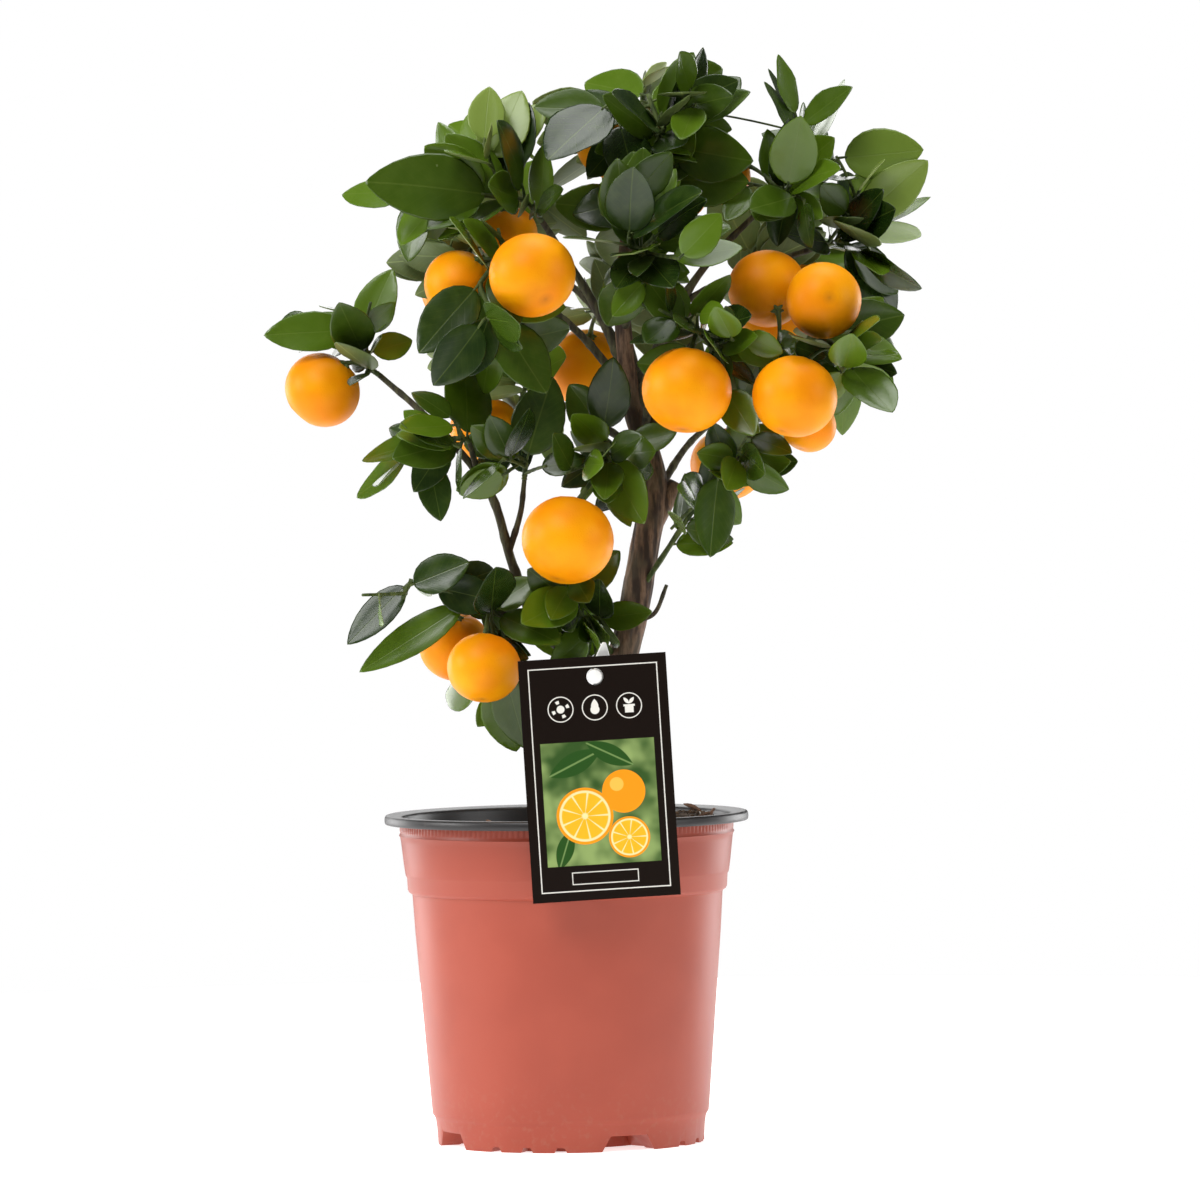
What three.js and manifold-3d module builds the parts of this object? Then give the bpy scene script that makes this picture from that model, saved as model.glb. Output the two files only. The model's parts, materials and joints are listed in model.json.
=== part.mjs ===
// Potted calamondin tree: a small citrus with a leaning trunk, ripe fruit and a round crown,
// in a plastic nursery pot with a hanging plant card. Sizes are in millimetres. The origin is
// on the ground at the pot's axis, +Z is up and the side that the card faces is -Y.
import * as THREE from 'three';
import manifoldModule from 'manifold-3d';

const wasm = await manifoldModule();
wasm.setup();
const { Manifold, Mesh: SolidMesh } = wasm;

const gap = 0.3;
const fullTurn = 2 * Math.PI;
const degree = Math.PI / 180;

// Pot: wall radii go up the outside from the ground to the lip.
const pot = {
  segments: 28,
  wall: 1.3,
  floor: 4.2,
  outside: [[69.4, 0], [70.6, 13.5], [72.2, 17], [79.8, 111], [81.4, 131], [83.9, 138],
    [85.4, 147], [87.2, 160], [87.3, 166.2]],
  insideLevels: [13.5, 17, 131, 138, 160],
  notchTurn: 26,
  wideNotch: { depth: 27, height: 8, foot: 30, head: 21 },
  smallNotch: { depth: 10, height: 2.6, foot: 6.4, head: 4, pitch: 14.7, count: 3 },
};
const lip = { outer: 95, top: 172, edge: 5, thickness: 1.3, skirtBottom: 138, crown: 0.9 };
const soil = {
  rings: 4,
  level: 162.5,
  rise: 4.2,
  heap: { at: [52, 14], height: 3.4, spread: 34 },
  lumps: { height: 0.8, pitch: [0.19, 0.23], shift: [1.3, 0.4] },
  seatRadius: 25,
  seat: 163.2,
};
const label = {
  width: 75.5,
  height: 124,
  thickness: 0.7,
  turn: -2.8,
  centre: [17.5, -97.6, 194.1],
  hole: 4.3,
  holeAt: [16, 245.8],
  stick: {
    width: 8, thickness: 2, head: 8, point: 16, foot: [8, -74, 128], top: [20.2, -90.4, 255], peg: 3.7,
  },
};

// Trunk and boughs: each path is a smooth line through its points, thick end first.
const trunk = {
  path: [[4, 0, soil.seat - 3], [14, 2, 210], [32, 1, 258], [43, -1, 310], [48, 1, 344],
    [37, 4, 388], [33, 6, 438], [36, 8, 474]],
  radius: { foot: 9.2, fork: 7.2, tip: 3.1, forkAt: 0.6 },
  flare: { grow: 0.42, length: 0.06 },
  sides: 8,
  rings: 14,
};
const boughs = {
  bough_left: { on: 'trunk', at: 0.27, via: [[-10, -20, 266], [-25, -30, 300], [-38, -38, 342],
    [-72, -34, 382]], tip: [-93, -27, 401], radius: [4, 1.9] },
  bough_left_side: { on: 'bough_left', at: 0.66, via: [], tip: [-47, -47, 366], radius: [2.2, 1.6] },
  bough_inner: { on: 'bough_left', at: 0.45, via: [[-21, -37, 330]], tip: [-19, -38, 346],
    radius: [2.4, 1.6] },
  bough_low: { on: 'bough_left', at: 0.2, via: [[-22, -34, 275]], tip: [-34, -42, 277],
    radius: [3, 1.9] },
  bough_right: { on: 'trunk', at: 0.62, via: [[53, -10, 392], [72, -26, 405]],
    tip: [102, -46, 409], radius: [4.2, 2] },
  bough_upper_right: { on: 'trunk', at: 0.7, via: [[54, 4, 420], [76, 2, 455]],
    tip: [103, -10, 482], radius: [3.9, 1.9] },
  bough_far_right: { on: 'bough_upper_right', at: 0.5, via: [[96, 8, 452]],
    tip: [136, 6, 465], radius: [2.7, 1.8] },
  bough_upper_left: { on: 'trunk', at: 0.76, via: [[22, 8, 430], [6, 4, 458]],
    tip: [-8, -18, 480], radius: [3.6, 1.9] },
  bough_left_fruit: { on: 'trunk', at: 0.73, via: [[14, -6, 418], [-8, -20, 438]],
    tip: [-21, -36, 451], radius: [3.2, 1.8] },
  bough_centre: { on: 'trunk', at: 0.84, via: [[40, -14, 440]], tip: [43, -38, 455],
    radius: [2.9, 1.9] },
  bough_front_right: { on: 'trunk', at: 0.66, via: [[50, -24, 396]], tip: [70, -46, 416],
    radius: [3, 1.9] },
  bough_back_top: { on: 'trunk', at: 0.92, via: [[40, 24, 470]], tip: [46, 42, 494],
    radius: [2.8, 1.8] },
  bough_back_left: { on: 'trunk', at: 0.8, via: [[14, 22, 440]], tip: [-14, 40, 462],
    radius: [3, 1.8] },
  bough_back_right: { on: 'trunk', at: 0.74, via: [[62, 24, 426]], tip: [92, 44, 450],
    radius: [3.2, 1.8] },
  bough_back: { on: 'trunk', at: 0.68, via: [[40, 30, 402]], tip: [34, 60, 426],
    radius: [3.2, 1.9] },
  bough_back_low: { on: 'trunk', at: 0.56, via: [[66, 22, 362]], tip: [84, 40, 378],
    radius: [2.8, 1.8] },
  bough_back_side: { on: 'trunk', at: 0.63, via: [[14, 20, 378]], tip: [-14, 36, 392],
    radius: [2.8, 1.8] },
  cut_stub: { on: 'trunk', at: 0.5, via: [], tip: [60, 3, 343], radius: [5.2, 4.4] },
  bare_twig: { on: 'trunk', at: 0.36, via: [[47, -8, 275]], tip: [54, -13, 290],
    radius: [1.8, 1.3] },
};
const boughSides = 5;
const boughPart = 30;

// Fruit: centre, diameter. Each hangs in the mass that names it.
const fruits = {
  far_left: [[-123, -22, 394, 39.6]],
  left: [[-51, -38, 447, 37.5], [-13, -82, 451, 44.5]],
  crown_top: [[29, -5, 519, 37.5]],
  top_right: [[86, -8, 503, 31]],
  right_fruit: [[108, -38, 443, 41], [136, -74, 436, 39], [120, -90, 387, 44],
    [128, -50, 372, 29], [113, 6, 427, 37.5]],
  centre_right: [[65, -85, 391, 46.5]],
  inner_left: [[3, -66, 315, 48]],
  bottom_left: [[-41, -62, 250, 38], [-56, -26, 260, 37.5]],
  upper_left: [[-26, 2, 474, 31]],
  back_top: [[62, 84, 498, 38]],
  back_left: [[-52, 66, 446, 42]],
  back_right: [[132, 76, 444, 40], [108, 92, 414, 36]],
  back: [[14, 108, 404, 44]],
  back_side: [[-40, 62, 372, 38]],
  back_low: [[88, 70, 352, 40]],
};

// Masses: centre and size of each one's space, where its stem ends, the furthest leaf tips that
// show (with the leaf's length where it isn't the usual one) and how many more shoots it has.
const leafLength = 44;
const masses = {
  crown_top: { on: 'trunk', centre: [50, -20, 528], size: 62, hub: [60, -18, 502], seed: 3,
    more: 4, leaves: 27, reach: [[46, -20, 565], [81, -35, 565],
      [25, -50, 543], [13, 12, 555], [100, -34, 545, 40], [96, 2, 556, 36], [64, -70, 520, 44], [-2, -30, 534, 40]] },
  top_right: { on: 'bough_upper_right', centre: [121, -24, 501], size: 53, hub: [112, -15, 490],
    seed: 5, more: 4, leaves: 27, reach: [[154, 8, 551], [142, -62, 508], [124, -50, 530, 40], [116, -2, 560, 44],
      [136, 22, 538, 38], [88, -48, 512, 38]] },
  right: { on: 'bough_far_right', centre: [162, 0, 474], size: 50, hub: [147, 4, 468], seed: 11,
    more: 3, leaves: 19, reach: [[192, -5, 510, 48], [198, 20, 487, 42], [186, -24, 440],
      [190, 34, 466, 40], [180, 12, 442, 38], [175, 38, 515]] },
  right_fruit: { on: 'bough_right', centre: [134, -62, 410], size: 58, hub: [117, -53, 413],
    seed: 13, more: 3, leaves: 21, reach: [[178, -50, 430, 46], [176, -66, 408, 42],
      [168, -110, 380, 46, -0.7], [174, -56, 384, 44], [179, -12, 408, 38],
      [118, -104, 420, 36], [146, -28, 366, 38]] },
  centre_right: { on: 'bough_front_right', centre: [80, -66, 402], size: 56, hub: [77, -57, 419],
    seed: 17, more: 3, leaves: 23, reach: [[74, -92, 444, 42], [60, -104, 428, 34],
      [94, -30, 376, 36], [36, -84, 416, 36]] },
  centre: { on: 'bough_centre', centre: [46, -66, 472], size: 54, hub: [44, -50, 464], seed: 19,
    more: 4, leaves: 19, reach: [[36, -104, 462, 46], [34, -86, 432, 40], [72, -92, 490],
      [56, -102, 446, 38], [4, -96, 474, 48], [30, -88, 508]] },
  upper_left: { on: 'bough_upper_left', centre: [-36, -22, 498], size: 58, hub: [-16, -30, 490],
    seed: 23, more: 3, leaves: 23, reach: [[-95, -66, 504, 70], [-56, -40, 526, 56],
      [-46, -6, 539, 40], [-14, -32, 541, 40], [-113, -4, 498, 42], [-84, -14, 466, 42],
      [-32, 22, 522], [1, -64, 515, 46]] },
  left: { on: 'bough_left_fruit', centre: [-32, -58, 432], size: 54, hub: [-29, -50, 459],
    seed: 29, more: 3, leaves: 17, reach: [[-72, -78, 414, 50], [-8, -66, 390, 46],
      [-42, -34, 390, 42], [-66, -44, 394], [4, -60, 436, 40]] },
  far_left: { on: 'bough_left', centre: [-118, -30, 412], size: 56, hub: [-99, -26, 405],
    seed: 31, more: 1, leaves: 12, reach: [[-152, -38, 425, 48], [-87, -24, 457, 40],
      [-108, -52, 398, 22], [-76, -8, 420, 28]] },
  mid_left: { on: 'bough_left_side', centre: [-80, -50, 350], size: 44, hub: [-52, -52, 368],
    seed: 37, more: 1, leaves: 13, reach: [[-84, -74, 358, 46], [-104, -40, 362, 40],
      [-108, -20, 340, 40], [-62, -54, 326, 32]] },
  inner: { on: 'bough_inner', centre: [-24, -46, 354], size: 42, hub: [-18, -40, 355], seed: 41,
    more: 1, leaves: 11, reach: [[-44, -62, 374, 34], [-10, -74, 360, 38], [-30, -74, 338, 34]] },
  inner_left: { on: 'trunk', at: 0.57, centre: [20, -36, 364], size: 46, hub: [21, -26, 369],
    seed: 43, more: 2, leaves: 14, reach: [[30, -36, 408, 42], [4, 0, 398, 40],
      [24, -78, 340, 38], [40, -62, 368, 36], [39, -60, 324, 40], [0, -20, 342, 36]] },
  lower_centre: { on: 'trunk', at: 0.29, centre: [10, -34, 276], size: 44, hub: [5, -26, 281],
    seed: 47, more: 2, leaves: 13, reach: [[44, -44, 276, 32], [-16, -54, 300, 32],
      [-8, -62, 268, 34], [26, -64, 262, 34]] },
  bottom_left: { on: 'bough_low', centre: [-64, -48, 262], size: 56, hub: [-38, -45, 280],
    seed: 53, more: 1, leaves: 14, reach: [[-112, -62, 264, 46, -0.7], [-103, -88, 250, 50],
      [-22, -38, 206, 42], [-71, -34, 286, 36], [-38, -58, 330, 40], [-66, 0, 234, 34]] },
  right_twig: { on: 'trunk', at: 0.4, centre: [94, -46, 344], size: 42, hub: [82, -43, 350],
    seed: 59, more: 1, leaves: 12, reach: [[76, -56, 306, 42], [108, -56, 334, 42],
      [94, -24, 322, 36], [118, -62, 352, 34]] },
  back_top: { on: 'bough_back_top', centre: [40, 66, 512], size: 62, hub: [46, 52, 500],
    seed: 61, more: 8, leaves: 20, reach: [] },
  back_left: { on: 'bough_back_left', centre: [-38, 62, 466], size: 60, hub: [-24, 46, 466],
    seed: 67, more: 8, leaves: 19, reach: [] },
  back_right: { on: 'bough_back_right', centre: [114, 66, 460], size: 60, hub: [100, 48, 454],
    seed: 71, more: 8, leaves: 18, reach: [] },
  back: { on: 'bough_back', centre: [34, 92, 434], size: 58, hub: [34, 68, 430], seed: 73,
    more: 7, leaves: 17, reach: [] },
  back_low: { on: 'bough_back_low', centre: [92, 58, 388], size: 50, hub: [87, 45, 382],
    seed: 79, more: 6, leaves: 14, reach: [] },
  back_side: { on: 'bough_back_side', centre: [-32, 56, 396], size: 54, hub: [-18, 40, 394],
    seed: 83, more: 6, leaves: 14, reach: [] },
};

// Growth rule: how shoots bend and how leaves sit on them.
const rule = {
  core: [36, 36, 380],
  stemRadius: [2.3, 2.1],
  stemNodes: [0.7, 0.85, 1],
  twigPart: 34,
  shootRadius: [2.2, 1.9],
  shootBend: 0.35,
  leafSpacing: 10,
  fillTries: 400,
  leafTurn: 137.5 * degree,
  leafOpen: 58 * degree,
  leafWidth: 0.58,
  leafThickness: 1.3,
  leafArch: 0.07,
  leafRoot: 0.1,
  tries: 12,
  rolls: [0, 0.5, -0.5, 1],
  lean: [0, 0.35, -0.35, 0.7, -0.7],
  frontPull: 0.75,
  shownPull: 1.1,
  leafRetry: 1.1,
  shortest: 4,
  endStep: 0.14,
  endSink: 1,
  shootNodes: [0.35, 0.55, 0.75, 0.95],
  stalkRadius: [1.6, 1.6],
  rootRoom: 3,
  leafRoom: 0.9,
  twigRoom: 1.2,
  limbRoom: 3.2,
  fruitRoom: 1.2,
  spaceRoom: 1.2,
  simplify: 0.15,
};
const leafOutline = [[0.38, 0.5], [0.74, 0.42]];
const leafProbe = [[0.18, 0.2], [0.4, 0.48], [0.57, 0.46], [0.74, 0.4], [0.88, 0.18], [1, 0]];

const vector = (values) => new THREE.Vector3(values[0], values[1], values[2]);

function seededRandom(seed) {
  let state = seed >>> 0;
  return () => {
    state = (Math.imul(state, 1664525) + 1013904223) >>> 0;
    return state / 4294967296;
  };
}

// Solids: three.js geometry in, manifold out, and back to a mesh node.
function solidOf(geometry) {
  const position = geometry.getAttribute('position');
  const slots = new Map();
  const corners = [];
  const places = [];
  for (let i = 0; i < position.count; i += 1) {
    const place = [position.getX(i), position.getY(i), position.getZ(i)];
    const key = place.map((value) => Math.round(value * 1e4)).join();
    if (!slots.has(key)) {
      slots.set(key, slots.size);
      corners.push(...place);
    }
    places.push(slots.get(key));
  }
  const order = geometry.index ? Array.from(geometry.index.array) : places.map((_, i) => i);
  const triangles = [];
  for (let i = 0; i < order.length; i += 3) {
    const [a, b, c] = [places[order[i]], places[order[i + 1]], places[order[i + 2]]];
    if (a !== b && b !== c && c !== a) triangles.push(a, b, c);
  }
  const mesh = new SolidMesh({
    numProp: 3,
    vertProperties: new Float32Array(corners),
    triVerts: new Uint32Array(triangles),
  });
  const solid = new Manifold(mesh);
  return solid.volume() < 0 ? solidOf(geometry.clone().scale(-1, 1, 1)).scale([-1, 1, 1]) : solid;
}

function largestBody(solid) {
  const bodies = solid.decompose();
  return bodies.reduce((best, body) => (body.volume() > best.volume() ? body : best), bodies[0]);
}

function node(name, solid, colour) {
  const data = solid.getMesh();
  const geometry = new THREE.BufferGeometry();
  geometry.setAttribute('position', new THREE.BufferAttribute(new Float32Array(data.vertProperties), 3));
  geometry.setIndex(new THREE.BufferAttribute(new Uint32Array(data.triVerts), 1));
  geometry.computeVertexNormals();
  const mesh = new THREE.Mesh(geometry, new THREE.MeshStandardMaterial({ color: colour }));
  mesh.name = name;
  return mesh;
}

function turned(profile, segments) {
  const points = profile.map(([radius, height]) => new THREE.Vector2(radius, height));
  return solidOf(new THREE.LatheGeometry(points, segments).rotateX(Math.PI / 2));
}

// Directions for each ring of a tube: ahead, and two across that don't twist on the way.
function framesAlong(places) {
  const last = places.length - 1;
  const frames = places.map((place, i) => ({
    ahead: places[Math.min(i + 1, last)].clone().sub(places[Math.max(i - 1, 0)]).normalize(),
  }));
  let across = new THREE.Vector3(0.31, 0.87, 0.38);
  for (const frame of frames) {
    across = across.clone().addScaledVector(frame.ahead, -across.dot(frame.ahead)).normalize();
    frame.across = across;
    frame.other = new THREE.Vector3().crossVectors(frame.ahead, across);
  }
  return frames;
}

// A tube of rings carried along places, with its radius from a function of the share of the way.
function tube(places, radiusAt, sides) {
  const rings = places.length - 1;
  const geometry = new THREE.CylinderGeometry(1, 1, 1, sides, rings);
  const frames = framesAlong(places);
  const position = geometry.getAttribute('position');
  for (let i = 0; i < position.count; i += 1) {
    const ring = Math.round((position.getY(i) + 0.5) * rings);
    const radius = radiusAt(ring / rings);
    const place = places[ring].clone()
      .addScaledVector(frames[ring].across, position.getX(i) * radius)
      .addScaledVector(frames[ring].other, -position.getZ(i) * radius);
    position.setXYZ(i, place.x, place.y, place.z);
  }
  return solidOf(geometry);
}

function smoothCurve(points) {
  return new THREE.CatmullRomCurve3(points, false, 'centripetal');
}

// Limbs: the trunk first, then each bough from its parent's middle line, cut clear of it.
function trunkRadius(share) {
  const { foot, fork, tip, forkAt } = trunk.radius;
  const body = share < forkAt
    ? foot + (fork - foot) * (share / forkAt)
    : fork + (tip - fork) * ((share - forkAt) / (1 - forkAt)) ** 0.7;
  return body * (1 + trunk.flare.grow * Math.exp(-share / trunk.flare.length));
}

function makeLimbs() {
  const limbs = {};
  const trunkCurve = smoothCurve(trunk.path.map(vector));
  limbs.trunk = { curve: trunkCurve, radiusAt: trunkRadius, sides: trunk.sides, rings: trunk.rings };
  for (const [name, bough] of Object.entries(boughs)) {
    const parent = limbs[bough.on];
    const points = [parent.curve.getPointAt(bough.at), ...bough.via.map(vector), vector(bough.tip)];
    const curve = points.length > 2 ? smoothCurve(points) : new THREE.LineCurve3(...points);
    const [thick, thin] = bough.radius;
    const radiusAt = (share) => thick + (thin - thick) * share;
    const rings = Math.max(2, Math.round(curve.getLength() / boughPart));
    limbs[name] = { curve, radiusAt, sides: boughSides, rings, parent };
  }
  for (const limb of Object.values(limbs)) {
    limb.line = Array.from({ length: 33 }, (_, i) => ({
      place: limb.curve.getPointAt(i / 32),
      radius: limb.radiusAt(i / 32),
    }));
  }
  return limbs;
}

function limbTube(limb, extra) {
  const places = limb.curve.getSpacedPoints(limb.rings);
  places.at(-1).addScaledVector(limb.curve.getTangentAt(1), extra);
  return tube(places, (share) => limb.radiusAt(share) + extra, limb.sides);
}

// A limb is cut clear of the limbs before it. The trunk is cut flat where it meets the filling.
function limbSolid(limb, earlier) {
  if (!limb.parent) return limbTube(limb, 0).trimByPlane([0, 0, 1], soil.seat + gap);
  const rooms = earlier.map((other) => limbTube(other, gap));
  return largestBody(limbTube(limb, 0).subtract(Manifold.union(rooms)).simplify(rule.simplify));
}

function distanceToSegment(place, from, to) {
  const along = to.clone().sub(from);
  const share = THREE.MathUtils.clamp(place.clone().sub(from).dot(along) / along.lengthSq(), 0, 1);
  return place.distanceTo(from.clone().addScaledVector(along, share));
}

// True where a ball round the place stays clear of every limb. A stem's first stretch beside
// its own limb is left out of the test.
function clearOfLimbs(place, radius, limbs, start, ignore) {
  if (start && place.distanceTo(start) < ignore) return true;
  for (const limb of Object.values(limbs)) {
    for (let i = 0; i + 1 < limb.line.length; i += 1) {
      const reach = radius + limb.line[i].radius;
      if (distanceToSegment(place, limb.line[i].place, limb.line[i + 1].place) < reach) return false;
    }
  }
  return true;
}

const fruitBalls = Object.values(fruits).flat().map(([x, y, z, diameter]) => ({
  place: new THREE.Vector3(x, y, z),
  radius: diameter / 2,
}));

function clearOfFruit(place, radius) {
  return fruitBalls.every((ball) => place.distanceTo(ball.place) > ball.radius + radius);
}

// A mass's space: the places nearer to its own centre than to any other mass's, each centre's
// nearness weighed by its size. Spaces meet in flat faces, so a leaf whose edge is inside is inside.
function insideSpace(place, mass, room) {
  const own = vector(mass.centre);
  const ownPower = place.distanceToSquared(own) - mass.size ** 2;
  return Object.values(masses).every((other) => {
    if (other === mass) return true;
    const centre = vector(other.centre);
    const power = place.distanceToSquared(centre) - other.size ** 2;
    return power - ownPower > 2 * room * centre.distanceTo(own);
  });
}

// Leaf: a frame at its root, along the blade, across it and up from it.
function leafFrame(root, along, facing, length) {
  const across = new THREE.Vector3().crossVectors(along, facing).normalize();
  const up = new THREE.Vector3().crossVectors(across, along).normalize();
  return { root, along, across, up, length };
}

function onLeaf(frame, share, side, lift) {
  const { root, along, across, up, length } = frame;
  const arch = rule.leafArch * length * share * share;
  return root.clone()
    .addScaledVector(along, share * length)
    .addScaledVector(across, side * rule.leafWidth * length)
    .addScaledVector(up, lift - arch);
}

// Eight faces: an octahedron whose corners go round the leaf's outline, by turns above and below.
function leafSolid(frame) {
  const half = rule.leafThickness / 2;
  const [lower, upper] = leafOutline;
  const root = { ...frame, root: frame.root.clone().addScaledVector(frame.along, -rule.leafRoot) };
  const corners = {
    '1,0,0': onLeaf(root, 0, 0, half),
    '-1,0,0': onLeaf(root, 1, 0, -half),
    '0,1,0': onLeaf(root, lower[0], lower[1], -half),
    '0,-1,0': onLeaf(root, upper[0], -upper[1], half),
    '0,0,1': onLeaf(root, upper[0], upper[1], half),
    '0,0,-1': onLeaf(root, lower[0], -lower[1], -half),
  };
  const geometry = new THREE.OctahedronGeometry(1, 0);
  const position = geometry.getAttribute('position');
  for (let i = 0; i < position.count; i += 1) {
    const key = [position.getX(i), position.getY(i), position.getZ(i)].map(Math.round).join();
    const corner = corners[key.replaceAll('-0', '0')];
    position.setXYZ(i, corner.x, corner.y, corner.z);
  }
  return solidOf(geometry);
}

function halfWidthAt(share) {
  const [[lowShare, low], [highShare, high]] = leafOutline;
  if (share < lowShare) return low * (share / lowShare);
  if (share < highShare) return low + (high - low) * ((share - lowShare) / (highShare - lowShare));
  return high * ((1 - share) / (1 - highShare));
}

// Where a place lies in a leaf's own directions, in shares of its length and width.
function inLeaf(frame, place) {
  const from = place.clone().sub(frame.root);
  const share = from.dot(frame.along) / frame.length;
  return {
    share,
    side: from.dot(frame.across) / (frame.length * rule.leafWidth),
    lift: from.dot(frame.up) + rule.leafArch * frame.length * Math.max(share, 0) ** 2,
  };
}

// True where a straight edge passes through the blade, or nearly does.
function cutsLeaf(from, to, frame, room) {
  const a = inLeaf(frame, from);
  const b = inLeaf(frame, to);
  if (a.lift * b.lift > 0 && Math.min(Math.abs(a.lift), Math.abs(b.lift)) > room) return false;
  const part = THREE.MathUtils.clamp(a.lift / (a.lift - b.lift), 0, 1);
  const share = a.share + (b.share - a.share) * part;
  const side = Math.abs(a.side + (b.side - a.side) * part);
  return share > 0.02 && share < 1.02 && side < halfWidthAt(share) + 0.02;
}

function leafEdges(frame) {
  const [lower, upper] = leafOutline;
  const ring = [[0.04, 0], lower, upper, [1, 0], [upper[0], -upper[1]], [lower[0], -lower[1]]];
  const corners = ring.map(([share, side]) => onLeaf(frame, share, side, 0));
  const edges = corners.map((corner, i) => [corner, corners[(i + 1) % corners.length]]);
  return [...edges, [corners[0], onLeaf(frame, 0.55, 0, 0)], [onLeaf(frame, 0.55, 0, 0), corners[3]]];
}

function leavesCross(frame, other) {
  const apart = frame.root.distanceTo(other.root);
  if (apart > frame.length + other.length) return false;
  if (apart < rule.rootRoom) return true;
  return frame.edges.some(([from, to]) => cutsLeaf(from, to, other, rule.leafRoom))
    || other.edges.some(([from, to]) => cutsLeaf(from, to, frame, rule.leafRoom));
}

function twigCrosses(twig, frame) {
  return [1, 2, 3, 4, 5, 6].some((part) => {
    const from = onTwig(twig, (part - 1) / 6).place;
    const to = onTwig(twig, part / 6).place;
    return distanceToSegment(frame.root, from, to) > 4 && cutsLeaf(from, to, frame, rule.twigRoom);
  });
}

function leafFits(frame, mass, limbs, leaves, twigs) {
  if (leaves.some((other) => leavesCross(frame, other))) return false;
  if (twigs.some((twig) => twigCrosses(twig, frame))) return false;
  return leafProbe.every(([share, half]) => [-half, 0, half].every((side) => {
    const place = onLeaf(frame, share, side, 0);
    return insideSpace(place, mass, rule.spaceRoom)
      && clearOfFruit(place, rule.fruitRoom)
      && clearOfLimbs(place, rule.limbRoom, limbs);
  }));
}

function facingAt(place, random, pull) {
  const outward = place.clone().sub(vector(rule.core)).normalize();
  const jitter = new THREE.Vector3(random() - 0.5, random() - 0.5, random() - 0.5);
  const front = place.y < rule.core[1] ? -pull : pull;
  return outward.multiplyScalar(0.5)
    .addScaledVector(jitter, 0.9)
    .add(new THREE.Vector3(0, front, 0.4));
}

// Twig: places along a bent path, thick end first.
function makeTwig(from, heading, to, bend, radius) {
  const length = from.distanceTo(to);
  const middle = from.clone().addScaledVector(heading, bend * length)
    .lerp(from.clone().lerp(to, 0.5), 0.5);
  const curve = new THREE.QuadraticBezierCurve3(from, middle, to);
  const parts = THREE.MathUtils.clamp(Math.round(length / rule.twigPart), 1, 3);
  return { places: curve.getPoints(parts), radius, length };
}

function onTwig(twig, share) {
  const parts = twig.places.length - 1;
  const part = Math.min(Math.floor(share * parts), parts - 1);
  const [from, to] = [twig.places[part], twig.places[part + 1]];
  return { place: from.clone().lerp(to, share * parts - part), ahead: to.clone().sub(from).normalize() };
}

function twigFits(twig, mass, limbs, start) {
  const room = twig.radius[0] + 0.6;
  return [0.25, 0.45, 0.65, 0.85, 1].every((share) => {
    const { place } = onTwig(twig, share);
    return insideSpace(place, mass, room)
      && clearOfFruit(place, room)
      && clearOfLimbs(place, room, limbs, start, 5);
  });
}

// The twig already grown that is nearest to a target and heads at least a little towards it.
function springFrom(twigs, target) {
  let best = null;
  for (const twig of twigs) {
    for (const share of twig.nodes) {
      const { place, ahead } = onTwig(twig, share);
      const towards = target.clone().sub(place);
      const distance = towards.length() * (1.35 - 0.35 * ahead.dot(towards.normalize()));
      if (!best || distance < best.distance) best = { place, ahead, distance, twig };
    }
  }
  return best;
}

// Seeded targets for the shoots that no reach names: spread over the mass's space, outwards first.
function moreTargets(mass, random) {
  const centre = vector(mass.centre);
  const outward = centre.clone().sub(vector(rule.core)).normalize();
  return Array.from({ length: mass.more }, (_, i) => {
    const height = 1 - 2 * ((i + 0.5) / mass.more);
    const turn = i * rule.leafTurn + random() * 0.6;
    const ring = Math.sqrt(1 - height * height);
    const way = new THREE.Vector3(ring * Math.cos(turn), ring * Math.sin(turn), height);
    way.addScaledVector(outward, 0.7).normalize();
    return centre.clone().addScaledVector(way, mass.size * (0.62 + 0.25 * random()));
  });
}

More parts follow.
